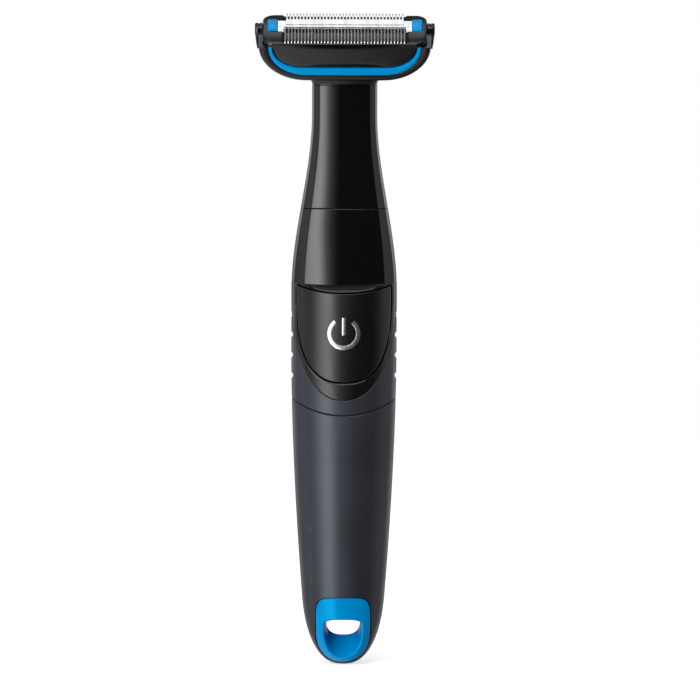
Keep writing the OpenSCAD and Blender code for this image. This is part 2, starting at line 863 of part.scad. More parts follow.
// Throat that carries the tilted cradle on the upright neck
module neck_cap() {
    low = neck_ring(neck_top + 0.05, 0.1);
    high = head_ring(cradle_flat, head_v - 2, -bowl_depth - 0.02);
    color(satin_black) difference() {
        on_axis() stack([
            for (i = [0 : 8])
                [for (j = [0 : len(low) - 1]) mix(low[j], high[j], i / 8)]
        ]);
        on_axis() translate([-3.6, -3.9, neck_top - 1]) cube([7.2, 7.4, 30]);
        on_head() drive_window();
    }
}

module front_apron() {
    color(gloss_black) on_head() translate([0, -apron_front + apron_t / 2, 0]) head_prism(apron_t / 2)
        bowl(tray_half - 0.15, cradle_flat + 1, tray_depth - 0.15, apron_top);
}

module rear_apron() {
    color(gloss_black) on_head() translate([0, apron_front - apron_t / 2, 0]) head_prism(apron_t / 2)
        bowl(tray_half - 0.15, cradle_flat + 1, tray_depth - 0.15, -rear_lip - 0.3);
}

// Cassette
cap_in = cassette_w / 2 - 4.2;
cap_out = cassette_w / 2 - 1.35;
comb_t = 0.4;
guard_t = 0.45;
front_comb_half = cap_in - 1.7;
rear_comb_half = cap_in - 2.3;
blade_half = cap_in - 1.3;
carrier_half = cap_in - 3.7;
mid = (front_edge + rear_edge) / 2;
comb_slit = 0.2;
end_cap_t = 1.4;
rear_lip = 1.2;

module flange_plan() {
    offset(r = 2) square([cassette_w - 4, cassette_d - 4.6], center = true);
}

// Rectangular pocket across the cassette, from one depth to another and from one level to another
module pocket(half, v0, v1, w0, w1) {
    translate([-half, v0, w0]) cube([2 * half, v1 - v0, w1 - w0]);
}

module cassette_frame() {
    color(satin_black) on_head() difference() {
        union() {
            translate([0, 0, -0.2 - flange_w]) linear_extrude(flange_w) flange_plan();
            head_prism(tip_half - 0.25) bowl(tray_half - 0.15, cradle_flat + 1, tray_depth - 0.15, -1);
        }
        pocket(cap_out + 0.05, front_edge - 0.1, rear_edge + 0.1, -0.2 - end_cap_t, 1);
        pocket(cap_in + 0.05, front_edge - 0.1, rear_edge + 0.1, -3.2, 1);
        pocket(cap_in - 0.6, front_edge - 1.8, rear_edge + 0.5, -tray_depth + 1.3, -2.9);
        pocket(front_comb_half + 0.1, -tip_half - 1, 1, -comb_t - 0.1, 1);
        pocket(rear_comb_half + 0.1, rear_edge - 0.6, tip_half + 1, -comb_t - 0.1, 1);
        pocket(rear_comb_half + 0.1, tip_half - 0.9, tip_half + 1, -rear_lip - 0.1, 1);
        drive_window();
    }
}

// Row of slots, one tooth pitch apart
module tooth_slots(half, v0, v1, w0) {
    count = floor(2 * half / tooth_pitch) - 1;
    for (i = [0 : count]) {
        translate([(i - count / 2) * tooth_pitch - 0.25, v0, w0]) cube([0.5, v1 - v0, 4]);
    }
}

module front_comb() {
    color(steel) on_head() difference() {
        translate([-front_comb_half, 0, 0]) rotate([90, 0, 90]) linear_extrude(2 * front_comb_half) polygon([
            [mid - comb_slit, 0], [mid - comb_slit, -comb_t],
            [-tip_half + 0.2, -comb_t], [-tip_half, -comb_t / 2],
            [-tip_half + 0.1, -0.08], [-tip_half + 0.5, 0]
        ]);
        tooth_slots(front_comb_half, -tip_half - 1, 0.2, -2);
    }
}

module rear_comb() {
    color(steel) on_head() difference() {
        translate([-rear_comb_half, 0, 0]) rotate([90, 0, 90]) linear_extrude(2 * rear_comb_half) polygon([
            [mid + comb_slit, 0], [mid + comb_slit, -comb_t], [tip_half - 0.8, -comb_t],
            [tip_half - 0.6, -rear_lip], [tip_half - 0.1, -rear_lip], [tip_half, -0.7], [tip_half - 0.5, 0]
        ]);
        tooth_slots(rear_comb_half, rear_edge + 0.3, tip_half + 1, -1.9);
    }
}

// Fixed guard plate with two rows of fine slots under the combs
module cutter_guard() {
    color([0.9, 0.9, 0.92]) on_head() difference() {
        translate([-cap_in + 0.05, front_edge, -comb_t - guard_t - 0.05])
            cube([2 * cap_in - 0.1, rear_edge - front_edge - 0.6, guard_t]);
        tooth_slots(front_comb_half, front_edge + 0.6, mid - 0.6, -2.5);
        tooth_slots(front_comb_half, mid + 0.6, rear_edge - 1.2, -2.5);
    }
}

module end_cap(s) {
    color(blue) on_head() translate([s * (cap_in + cap_out) / 2, mid, -0.1 - end_cap_t / 2])
        cube([cap_out - cap_in, rear_edge - front_edge, end_cap_t], center = true);
}
module left_end_cap() {
    end_cap(-1);
}
module right_end_cap() {
    end_cap(1);
}

// Snap catch and comb guide at each end of the cassette
module side_catch(s) {
    x0 = cassette_w / 2 + 0.02;
    color(satin_black) on_head() mirror([s < 0 ? 1 : 0, 0, 0]) {
        translate([x0, catch_v, catch_level]) rotate([0, 90, 0]) cylinder(r = catch_r, h = 2.1);
        translate([arm_half + 0.1, catch_v - 1.7, catch_level - 4.2]) cube([1, 3.4, 4.4]);
        translate([arm_half + 0.1, catch_v - 0.7, catch_level - 5.8]) cube([1, 1.4, 2]);
    }
}
module left_catch() {
    side_catch(-1);
}
module right_catch() {
    side_catch(1);
}

// ---- Cutter ----

blade_z1 = -comb_t - guard_t - 0.15;
blade_t = 1;
blade_spring_h = 2.2;
carrier_top = blade_z1 - blade_t - blade_spring_h;
module moving_blade() {
    color(steel) on_head() difference() {
        translate([-blade_half, front_edge + 0.3, blade_z1 - blade_t])
            cube([2 * blade_half, rear_edge - front_edge - 0.6, blade_t]);
        tooth_slots(blade_half - 0.6, front_edge - 1, front_edge + 1.6, blade_z1 - blade_t - 1);
        tooth_slots(blade_half - 0.6, rear_edge - 1.6, rear_edge + 1, blade_z1 - blade_t - 1);
    }
}

module blade_carrier() {
    color([0.85, 0.85, 0.82]) on_head() difference() {
        union() {
            translate([-carrier_half, front_edge + 0.2, carrier_top - 1.2])
                cube([2 * carrier_half, rear_edge - front_edge - 0.6, 1.2]);
            translate([-3.4, -2.6, carrier_w - 1.2]) cube([6.8, 5.2, carrier_top - carrier_w + 0.6]);
        }
        translate([-tip_d / 2 - 0.15, -2, carrier_w - 2]) cube([tip_d + 0.3, 4, tip_top - carrier_w + 2.4]);
    }
}

module blade_springs() {
    color(steel) on_head() for (s = [-1, 1]) {
        translate([s * carrier_half * 0.65, mid, carrier_top]) coil(1.5, 0.4, blade_spring_h, 3, 12, 5);
    }
}

battery_cover();
loop_liner();
battery_carriage();
seal_ring();
battery_can();
battery_terminal();
negative_spring();
negative_strip();
positive_contact();
grip_shell();
collar_shell();
button_bezel();
spigot_ring();
spigot_seal();
motor_can();
motor_end_cap();
motor_holder();
motor_screws();
motor_terminals();
circuit_board();
board_parts();
switch_body();
lead_wires();
shaft_boot();
on_off_button();
power_symbol();
button_stem();
switch_plunger();
button_seal();
motor_shaft();
eccentric();
neck_front_shell();
neck_rear_shell();
lever_pin();
head_cradle();
neck_cap();
blue_band();
front_apron();
rear_apron();
cassette_frame();
front_comb();
rear_comb();
cutter_guard();
left_end_cap();
right_end_cap();
left_catch();
right_catch();
drive_lever();
blade_carrier();
moving_blade();
blade_springs();
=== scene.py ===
"""Looks of the body groomer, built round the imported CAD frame.

Sizes in this script are millimetres until mesh_piece() turns them into metres. X runs across
the head, -Y is the front with the button and +Z points to the head.
"""
import math

import bmesh
import bpy
import numpy as np
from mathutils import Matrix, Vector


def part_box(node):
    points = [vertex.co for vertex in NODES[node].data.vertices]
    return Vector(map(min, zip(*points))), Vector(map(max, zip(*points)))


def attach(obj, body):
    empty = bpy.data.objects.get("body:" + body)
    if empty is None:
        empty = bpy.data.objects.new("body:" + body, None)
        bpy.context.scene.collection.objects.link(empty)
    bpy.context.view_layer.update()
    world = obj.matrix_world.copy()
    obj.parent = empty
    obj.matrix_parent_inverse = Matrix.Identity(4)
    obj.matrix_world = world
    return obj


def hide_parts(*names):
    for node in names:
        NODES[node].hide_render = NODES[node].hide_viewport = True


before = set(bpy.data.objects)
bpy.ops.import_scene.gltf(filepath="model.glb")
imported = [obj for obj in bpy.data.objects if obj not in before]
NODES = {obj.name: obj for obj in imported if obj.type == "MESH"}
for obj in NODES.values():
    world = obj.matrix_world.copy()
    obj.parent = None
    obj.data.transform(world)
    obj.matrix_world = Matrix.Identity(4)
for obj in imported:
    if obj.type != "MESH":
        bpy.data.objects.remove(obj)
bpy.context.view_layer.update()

MM = 0.001


def low(node):
    """Lowest corner of a CAD node, in millimetres."""
    return np.array(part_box(node)[0]) / MM


def high(node):
    """Highest corner of a CAD node, in millimetres."""
    return np.array(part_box(node)[1]) / MM


# ---- Design sizes, as in the CAD source ----

AXIS_Y = (low("battery_can")[1] + high("battery_can")[1]) / 2
GRIP_W, GRIP_D = 29.5, 26.6
TAIL_W, TAIL_D = 24.6, 21.0
TAIL_H, TAIL_ROUND = 20.2, 20.0
NECK_W, NECK_D = 18.2, 13.6
WALL = 1.6
BUTTON_W, BUTTON_GAP = 26.0, 0.3
SYMBOL_D, SYMBOL_LINE = 9.3, 1.3
JOINT_GAP = 0.18
HEAD_TILT = math.radians(32)
CASSETTE_W, CASSETTE_D = 45.8, 14.8
TOOTH_PITCH = 0.92
BOWL_DEPTH = 12.8

SHIELD_Z0 = low("button_bezel")[2]
NECK_Z = high("collar_shell")[2]
NECK_TOP = high("neck_rear_shell")[2]
SEAM_RISE, LEDGE_RISE = 4.5, 2.7
SEAM_Z = SHIELD_Z0 - SEAM_RISE
LEDGE_Z = NECK_Z - 23.2
SHIELD_TOP = LEDGE_Z - 1.9
SYMBOL_Z = SHIELD_Z0 + 18.6
TAPER_Z, TAPER_END = SHIELD_Z0 + 14, TAIL_H + 8.8
CARRIAGE_Z0 = low("battery_carriage")[2]
SLIM_Z0, SLIM_Z1 = LEDGE_Z, NECK_Z + 26
THROAT_H = 3.4
FACE_Y, FACE_Z = -9.2, NECK_TOP + BOWL_DEPTH + THROAT_H
# Exponents of the rounded sections: the grip, and the tail seen from the front and the side
GRIP_N, TAIL_NW, TAIL_ND = 2.3, 2.5, 2.2
TAPER_BEND = 1.75


# ---- Outline of the body ----

def smooth(s):
    """Eases a share between 0 and 1."""
    s = np.clip(s, 0, 1)
    return s * s * (3 - 2 * s)


def mix(a, b, t):
    return a * (1 - t) + b * t


def taper(z, end):
    """Share of the narrowing towards the tail."""
    return np.clip((TAPER_Z - z) / (TAPER_Z - end), 0, None) ** TAPER_BEND


def cap(z, n):
    """Share of the full section that the rounded tail keeps."""
    s = np.clip((TAIL_ROUND - z) / TAIL_ROUND, 0, 1)
    return (1 - s ** n) ** (1 / n)


def grip_share(z):
    """1 in the grip, falling to 0 in the neck."""
    return smooth((SLIM_Z1 - z) / (SLIM_Z1 - SLIM_Z0))


def half_w(z):
    wide = NECK_W + (GRIP_W - NECK_W) * grip_share(z) - (GRIP_W - TAIL_W) * taper(z, TAPER_END)
    return cap(z, TAIL_NW) / 2 * wide


def half_d(z):
    deep = NECK_D + (GRIP_D - NECK_D) * grip_share(z) - (GRIP_D - TAIL_D) * taper(z, CARRIAGE_Z0)
    return cap(z, TAIL_ND) / 2 * deep


def turn(count):
    """Even angles once round."""
    return np.linspace(0, 2 * math.pi, count, endpoint=False)


def oval_xy(angle, z, inset=0.0):
    """Point of the grip's oval section at an angle from +X, drawn in by inset."""
    c, s = np.cos(angle), np.sin(angle)
    a = np.maximum(half_w(z) - inset, 0)
    b = np.maximum(half_d(z) - inset, 0)
    return a * np.sign(c) * abs(c) ** (2 / GRIP_N), b * np.sign(s) * abs(s) ** (2 / GRIP_N)


def oval_ring(angles, z, inset=0.0):
    """Ring of the oval section at one height, or at a height for each angle."""
    x, y = oval_xy(angles, z, inset)
    return np.column_stack([x, y, np.broadcast_to(z, x.shape)])


def on_front(x, z, depth=0.0):
    """Point on the front of the grip at a given x and z, sunk by depth along the section."""
    a = half_w(z)
    c = np.clip(abs(x) / a, 0, 1) ** (GRIP_N / 2)
    s = np.sqrt(1 - c * c)
    px = (a - depth) * np.sign(x) * c ** (2 / GRIP_N)
    py = -(half_d(z) - depth) * s ** (2 / GRIP_N)
    return np.array([px, py, z])


def pushed(x, z, depth):
    """Point straight behind the front, so that walls made of it run along the button's travel."""
    return on_front(x, z) + np.array([0, depth, 0])


def arc_z(x, z0, rise):
    """Height of a joint that dips in the middle."""
    half = GRIP_W / 2
    r = (half * half + rise * rise) / (2 * rise)
    return z0 + r - np.sqrt(np.maximum(r * r - x * x, 0))


# ---- Mesh tools ----

SHARP = 40


def new_object(name, points, faces):
    """Object in the scene, from points in metres."""
    mesh = bpy.data.meshes.new(name)
    mesh.from_pydata(np.array(points).tolist(), [], [list(f) for f in faces])
    mesh.validate()
    obj = bpy.data.objects.new(name, mesh)
    bpy.context.scene.collection.objects.link(obj)
    return obj


def placed(verts):
    """Metres in the frame, from millimetres about the body's axis."""
    return (np.array(verts, float) + [0, AXIS_Y, 0]) * MM


def mesh_piece(name, verts, faces, body, slot, node, sharp=SHARP):
    """Visible piece that takes the place of a CAD node and rides its body."""
    obj = new_object(name, placed(verts), faces)
    finish_mesh(obj, sharp)
    dress(obj, slot)
    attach(obj, body)
    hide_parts(node)
    return obj


def smooth_up_to(obj, sharp):
    obj.data.shade_smooth()
    obj.data.set_sharp_from_angle(angle=math.radians(sharp))


def finish_mesh(obj, sharp):
    """Turns all faces outwards, and shades smooth up to a given angle in degrees."""
    bm = bmesh.new()
    bm.from_mesh(obj.data)
    bmesh.ops.remove_doubles(bm, verts=bm.verts, dist=1e-7)
    bmesh.ops.dissolve_degenerate(bm, edges=bm.edges, dist=1e-7)
    bmesh.ops.recalc_face_normals(bm, faces=bm.faces)
    bm.to_mesh(obj.data)
    bm.free()
    smooth_up_to(obj, sharp)


def loft(rings, capped=True):
    """Points and faces of a stack of closed rings, either capped or joined last to first."""
    rings = [np.array(r, float) for r in rings]
    n, count = len(rings[0]), len(rings)
    faces = []
    for i in range(count - 1 if capped else count):
        a, b = i * n, (i + 1) % count * n
        for j in range(n):
            k = (j + 1) % n
            faces.append((a + j, a + k, b + k, b + j))
    if capped:
        last = (count - 1) * n
        faces += [tuple(range(n - 1, -1, -1)), tuple(range(last, last + n))]
    return np.concatenate(rings), faces


def join_parts(parts):
    """Joins several (points, faces) into one."""
    verts, faces, count = [], [], 0
    for v, f in parts:
        verts.append(np.array(v, float))
        faces += [tuple(i + count for i in face) for face in f]
        count += len(v)
    return np.concatenate(verts), faces


def cut(obj, cutters):
    """Cuts solids out of a piece and keeps the result as its mesh."""
    for c in cutters:
        m = obj.modifiers.new("cut", "BOOLEAN")
        m.operation = "DIFFERENCE"
        m.solver = "EXACT"
        m.object = c
    depsgraph = bpy.context.evaluated_depsgraph_get()
    mesh = bpy.data.meshes.new_from_object(obj.evaluated_get(depsgraph))
    obj.modifiers.clear()
    obj.data = mesh
    for c in cutters:
        bpy.data.objects.remove(c)
    smooth_up_to(obj, SHARP)


def cutter(verts, faces):
    """A solid that only cuts."""
    obj = new_object("cutter", placed(verts), faces)
    finish_mesh(obj, SHARP)
    return obj


def fillet(r, steps=4):
    """(inset, drop) pairs round a quarter of an edge, from the face to the side."""
    angles = np.linspace(0, math.pi / 2, steps + 1)
    return [(r * (1 - math.sin(a)), r * (1 - math.cos(a))) for a in angles]


# ---- Materials ----

def linear(r, g, b):
    """Linear colour of a screen colour given as 0 to 255."""
    return tuple((c / 255) ** 2.2 for c in (r, g, b)) + (1.0,)


def shade(colour, amount):
    return tuple(min(c * amount, 1.0) for c in colour[:3]) + (1.0,)


def greyed(colour, amount):
    """A colour moved some of the way to pale grey."""
    return tuple(mix(c, 0.45, amount) for c in colour[:3]) + (1.0,)


class Nodes:
    """Adds and wires the nodes of one shader tree."""

    def __init__(self, tree):
        self.tree = tree

    def add(self, kind, **values):
        node = self.tree.nodes.new(kind)
        for key, value in values.items():
            setattr(node, key, value)
        return node

    def fill(self, socket, value):
        """Sets a socket to a number or colour, or wires another socket into it."""
        if isinstance(value, (int, float, tuple)):
            socket.default_value = value
        else:
            self.tree.links.new(value, socket)

    def maths(self, operation, a, b=0.0):
        node = self.add("ShaderNodeMath", operation=operation)
        self.fill(node.inputs[0], a)
        self.fill(node.inputs[1], b)
        return node.outputs[0]

    def ranged(self, value, low_in, high_in, low_out, high_out, ease="LINEAR"):
        node = self.add("ShaderNodeMapRange", interpolation_type=ease)
        for socket, number in zip(node.inputs[:5], (value, low_in, high_in, low_out, high_out)):
            self.fill(socket, number)
        return node.outputs["Result"]

    def noise(self, scale, detail=3.0, stretch=(1, 1, 1)):
        """Noise over the object's own coordinates."""
        place = self.add("ShaderNodeTexCoord")
        mapping = self.add("ShaderNodeMapping")
        node = self.add("ShaderNodeTexNoise")
        self.fill(mapping.inputs["Vector"], place.outputs["Object"])
        self.fill(mapping.inputs["Scale"], stretch)
        self.fill(node.inputs["Vector"], mapping.outputs["Vector"])
        self.fill(node.inputs["Scale"], scale)
        self.fill(node.inputs["Detail"], detail)
        return node.outputs["Fac"]

    def blend(self, factor, a, b):
        node = self.add("ShaderNodeMix", data_type="RGBA")
        for socket, value in ((node.inputs[0], factor), (node.inputs[6], a), (node.inputs[7], b)):
            self.fill(socket, value)
        return node.outputs[2]


class Finish(Nodes):
    """A material with its main shader."""

    def __init__(self, name):
        self.material = bpy.data.materials.new(name)
        self.material.use_nodes = True
        super().__init__(self.material.node_tree)
        self.shader = self.tree.nodes["Principled BSDF"]

    def set(self, socket, value):
        self.fill(self.shader.inputs[socket], value)

    def bump(self, height, strength, distance):
        node = self.add("ShaderNodeBump")
        self.fill(node.inputs["Strength"], strength)
        self.fill(node.inputs["Distance"], distance)
        self.fill(node.inputs["Height"], height)
        self.set("Normal", node.outputs["Normal"])


GRAIN_DEPTH = 0.00002


def finish_material(name, screen, rough, metallic=0.0, grain=3500.0, relief=0.15, wear=0.12,
                    spread=0.06, patches=70.0, stretch=(1, 1, 1), tint=(1, 1, 1)):
    """Moulded plastic or metal: patchy colour, grain in bump and roughness, and worn edges."""
    n = Finish(name)
    colour = linear(*screen)
    n.set("Metallic", metallic)
    n.set("Specular Tint", (*tint, 1))
    patch = n.ranged(n.noise(patches, 4.0, stretch), 0.35, 0.65, 0, 1)
    body = n.blend(patch, shade(colour, 0.9), shade(colour, 1.1))
    geometry = n.add("ShaderNodeNewGeometry")
    edge = n.ranged(geometry.outputs["Pointiness"], 0.53, 0.62, 0, wear)
    n.set("Base Color", n.blend(edge, body, greyed(colour, 0.35)))
    fine = n.noise(grain, 2.0, stretch)
    fine_rough = n.ranged(fine, 0.3, 0.7, rough - spread / 2, rough + spread / 2)
    smear = n.noise(patches * 2.3, 5.0, (1, 1, 0.4))
    smear_rough = n.ranged(smear, 0.4, 0.7, -spread / 2, spread / 2)
    n.set("Roughness", n.maths("ADD", fine_rough, smear_rough))
    n.bump(fine, relief, GRAIN_DEPTH)
    return n.material


FINISHES = {
    "slate_plastic": dict(screen=(47, 48, 54), rough=0.36, grain=5200, relief=0.28, wear=0.1,
                          tint=(0.82, 0.89, 1)),
    "gloss_black": dict(screen=(12, 12, 13), rough=0.07, grain=900, relief=0.015, wear=0.05,
                        spread=0.03),
    "satin_black": dict(screen=(14, 14, 15), rough=0.3, grain=4200, relief=0.16, wear=0.08),
    "semi_gloss_black": dict(screen=(10, 11, 13), rough=0.18, grain=3000, relief=0.05, wear=0.06,
                             spread=0.05, tint=(0.9, 0.95, 1)),
    "inner_plastic": dict(screen=(30, 31, 33), rough=0.45, grain=2600, relief=0.3),
    "blue_plastic": dict(screen=(0, 138, 206), rough=0.22, grain=2500, relief=0.05, wear=0.06,
                         spread=0.05, tint=(0.02, 0.8, 1)),
    "drive_plastic": dict(screen=(214, 212, 203), rough=0.4, grain=2200, relief=0.2),
    "seal_rubber": dict(screen=(46, 46, 49), rough=0.65, grain=2400, relief=0.35),
    "silver_print": dict(screen=(192, 192, 192), rough=0.3, metallic=1.0, grain=6000,
                         relief=0.06, patches=300),
    "blade_steel": dict(screen=(226, 227, 229), rough=0.2, metallic=1.0, grain=2600, spread=0.03,
                        relief=0.06, patches=120, stretch=(6, 0.3, 0.3), wear=0.0),
    "motor_steel": dict(screen=(190, 192, 196), rough=0.28, metallic=1.0, grain=1500, relief=0.12,
                        patches=200, stretch=(1, 1, 0.06)),
    "spring_steel": dict(screen=(185, 187, 190), rough=0.25, metallic=1.0, grain=2500, relief=0.1),
    "contact_brass": dict(screen=(214, 178, 104), rough=0.26, metallic=1.0, grain=2200,
                          relief=0.12),
    "battery_jacket": dict(screen=(150, 154, 160), rough=0.3, metallic=0.6, grain=900,
                           relief=0.05, patches=90, stretch=(1, 1, 0.1)),
    "board_green": dict(screen=(22, 88, 52), rough=0.42, grain=1900, relief=0.2, patches=600),
    "chip_black": dict(screen=(38, 38, 40), rough=0.5, grain=3000, relief=0.3),
    "wire_red": dict(screen=(178, 28, 26), rough=0.4, grain=1800, relief=0.1),
}
MATERIALS = {slot: finish_material(slot, **look) for slot, look in FINISHES.items()}


def dress(obj, slot):
    """Gives a piece the material of a slot."""
    if obj.data.materials:
        for holder in obj.material_slots:
            holder.material = MATERIALS[slot]
    else:
        obj.data.materials.append(MATERIALS[slot])


# ---- Battery cover and its hanging loop ----

LINER_W, LINER_MID, LINER_TOP, LINER_FOOT = 15.4, 9.6, TAIL_H - 0.8, 0.7
HANG_W, HANG_H, HANG_Z = 9.4, 4.8, 8.2


def super_oval(half, centre, up, down, n_up, n_down):
    """Closed outline with one roundness above its centre height and another below."""
    points = []
    for a in turn(240) + math.pi / 2:
        c, s = math.cos(a), math.sin(a)
        n, reach = (n_up, up) if s > 0 else (n_down, down)
        x = -half * np.sign(c) * abs(c) ** (2 / n)
        points.append((x, centre + reach * np.sign(s) * abs(s) ** (2 / n)))
    return resample(np.array(points), 180)


def liner_outline(grow):
    """Rounded tongue outline of the liner."""
    up, down = LINER_TOP - LINER_MID + grow, LINER_MID - LINER_FOOT + grow
    return super_oval(LINER_W / 2 + grow, LINER_MID, up, down, 6, 2.2)


def resample(points, count):
    """Even points along a closed outline, starting at its first point."""
    ring = np.vstack([points, points[:1]])
    steps = np.hypot(*np.diff(ring, axis=0).T)
    keep = np.concatenate([[True], steps > 1e-9])
    ring = ring[keep]
    along = np.concatenate([[0], np.cumsum(np.hypot(*np.diff(ring, axis=0).T))])
    at = np.linspace(0, along[-1], count, endpoint=False)
    return np.column_stack([np.interp(at, along, ring[:, 0]), np.interp(at, along, ring[:, 1])])


def window_outline(grow=0.0):
    """Hanging hole: a nearly straight top and a half-oval below."""
    crown = 0.9
    centre = HANG_Z + HANG_H - crown
    return super_oval(HANG_W / 2 + grow, centre, crown + grow, HANG_H - crown + grow, 2.5, 2.5)


def scoop_outline():
    """Front rim of the scoop in front of the hanging hole."""
    return super_oval(half=5.5, centre=11.2, up=2.0, down=8.8, n_up=3.2, n_down=2.4)


def at_y(outline, y):
    """An outline in x and z, placed across Y."""
    return np.column_stack([outline[:, 0], np.full(len(outline), y), outline[:, 1]])


def seam_heights(angles, z0, rise, gap=0.0):
    """Height at which each column of the body meets a dipping joint."""
    z = np.full(len(angles), z0, float)
    for _ in range(6):
        z = arc_z(oval_xy(angles, z)[0], z0, rise) + gap
    return z


def cover_rings():
    """Rings from the tail up the outside, over the rim and down the inside to the floor."""
    angles = turn(220)
    top = seam_heights(angles, SEAM_Z, SEAM_RISE)
    edge, bevel, first = 0.3, 0.15, 0.03
    n = (TAIL_NW + TAIL_ND) / 2
    rings = []
    for phi in np.linspace(first, math.pi / 2, 34):
        rings.append(oval_ring(angles, TAIL_ROUND * (1 - math.cos(phi) ** (2 / n))))
    for s in np.linspace(0, 1, 60)[1:]:
        rings.append(oval_ring(angles, mix(TAIL_ROUND, top - edge, s)))
    for inset, drop in fillet(edge)[::-1][1:]:
        rings.append(oval_ring(angles, top - drop, inset))
    rings += [oval_ring(angles, top, WALL - bevel), oval_ring(angles, top - bevel, WALL)]
    for s in np.linspace(0, 1, 16)[1:]:
        rings.append(oval_ring(angles, mix(top - bevel, TAIL_H, s), WALL))
    return rings


def build_cover():
    cover = mesh_piece("cover_casing", *loft(cover_rings()), "battery_cover", "slate_plastic",
                       "battery_cover")
    front, middle, behind, clearance, fall = -30, -1, 30, 0.02, 3.2
    bed = liner_outline(0.14)
    pocket = cutter(*loft([at_y(bed, front), at_y(bed, clearance)]))
    hole = window_outline(clearance)
    below = hole[:, 1] < HANG_Z + HANG_H - 1
    sunk = hole - np.column_stack([np.zeros(len(hole)), np.where(below, fall, 0)])
    slot = cutter(*loft([at_y(hole, middle), at_y(sunk, behind)]))
    cut(cover, [pocket, slot])


def build_liner():
    outer, rim, window = liner_outline(0), scoop_outline(), window_outline()
    back_y, edge, lip = -0.02, 0.3, 0.45

    def ring_on_front(outline, depth):
        return np.array([on_front(x, z, depth) for x, z in outline])

    def inward(a, b, distance):
        step = b - a
        return a + step * (distance / np.maximum(np.hypot(*step.T), 1e-6))[:, None]

    rings = [at_y(outer, back_y), ring_on_front(outer, 1.2)]
    for inset, drop in fillet(edge)[::-1]:
        rings.append(ring_on_front(inward(outer, rim, inset), drop))
    start, end = inward(outer, rim, edge), inward(rim, outer, lip)
    for s in np.linspace(0, 1, 8)[1:]:
        rings.append(ring_on_front(mix(start, end, s), 0))
    for inset, drop in fillet(lip, 5)[1:]:
        rings.append(ring_on_front(inward(rim, outer, inset), drop))
    mouth, back = rings[-1], at_y(window, back_y)
    for s in np.linspace(0, 1, 18)[1:]:
        ring = mix(mouth, back, s)
        ring[:, 1] = mix(mouth[:, 1], back[:, 1], 1 - (1 - s) ** 1.25)
        rings.append(ring)
    mesh_piece("loop_liner_skin", *loft(rings, capped=False), "battery_cover", "blue_plastic",
               "loop_liner", 50)


# ---- Grip casing ----

NOTCH_PITCH, NOTCH_R, NOTCH_OUT, NOTCH_HALF = 5.7, 1.1, 0.65, 4.5
NOTCH_Z0 = TAPER_Z - 7.9
BEZEL_W, BEZEL_N = GRIP_W - 0.4, 2.2


def shield_z(x, wide, tall, n):
    """Height of a shield outline's lower edge at x."""
    return SHIELD_TOP - tall * np.clip(1 - abs(2 * x / wide) ** n, 0, 1) ** (1 / n)


def notch_depth(y, z):
    """How deep the four grip notches cut into each side."""
    nearest = np.clip(np.round((z - NOTCH_Z0) / NOTCH_PITCH), 0, 3)
    off = abs(z - (NOTCH_Z0 + nearest * NOTCH_PITCH))
    depth = np.sqrt(np.clip(NOTCH_R ** 2 - off ** 2, 0, None)) - NOTCH_OUT
    side = smooth((NOTCH_HALF + 0.6 - abs(y)) / 1.2)
    return np.clip(depth, 0, None) * side


def build_grip():
    angles = turn(360)
    edge, bevel = 0.28, 0.1
    bottom = seam_heights(angles, SEAM_Z, SEAM_RISE, JOINT_GAP)
    ledge = seam_heights(angles, LEDGE_Z, LEDGE_RISE)
    x, y = oval_xy(angles, ledge)
    opening = shield_z(x, BEZEL_W + 0.2, SHIELD_TOP - SHIELD_Z0 + 0.1, BEZEL_N)
    in_front = (y < 0) & (abs(x) < BEZEL_W / 2 + 0.1)
    top = np.where(in_front, np.minimum(opening, ledge), ledge)

    def notched(z):
        ring = oval_ring(angles, z)
        ring[:, 0] -= np.sign(ring[:, 0]) * notch_depth(ring[:, 1], z)
        return ring

    rings = [oval_ring(angles, bottom + bevel, WALL), oval_ring(angles, bottom, WALL - bevel)]
    rings += [oval_ring(angles, bottom + rise, inset) for inset, rise in fillet(edge)]
    for s in np.linspace(0, 1, 170)[1:-1]:
        rings.append(notched(np.minimum(mix(bottom + edge, ledge - edge, s), top - edge)))
    rings += [oval_ring(angles, top - drop, inset) for inset, drop in fillet(edge)[::-1]]
    rings += [oval_ring(angles, top, WALL - bevel), oval_ring(angles, top - bevel, WALL)]
    for s in np.linspace(0, 1, 12)[1:-1]:
        rings.append(oval_ring(angles, mix(top - bevel, bottom + bevel, s), WALL))
    mesh_piece("grip_casing", *loft(rings, capped=False), "handle", "slate_plastic",
               "grip_shell", 50)


# ---- Button, its frame and the power symbol ----

BUTTON_N, BUTTON_TALL, BUTTON_PROUD = 2.6, SHIELD_TOP - SHIELD_Z0 - 5, 0.2
BUTTON_BACK = WALL - 0.05


def shield_curve(wide, tall, n, gap=0.0):
    """Points along a shield outline, from its upper left end down and round to the right."""
    t = np.linspace(math.pi, 2 * math.pi, 120)
    x = wide / 2 * np.sign(np.cos(t)) * abs(np.cos(t)) ** (2 / n)
    z = SHIELD_TOP - tall * abs(np.sin(t)) ** (2 / n)
    end = arc_z(wide / 2, LEDGE_Z, LEDGE_RISE) - gap
    up = np.linspace(end, SHIELD_TOP, 26)[:-1]
    left = np.column_stack([np.full(len(up), -wide / 2), up])
    right = left[::-1] * [-1, 1]
    return np.concatenate([left, np.column_stack([x, z]), right])


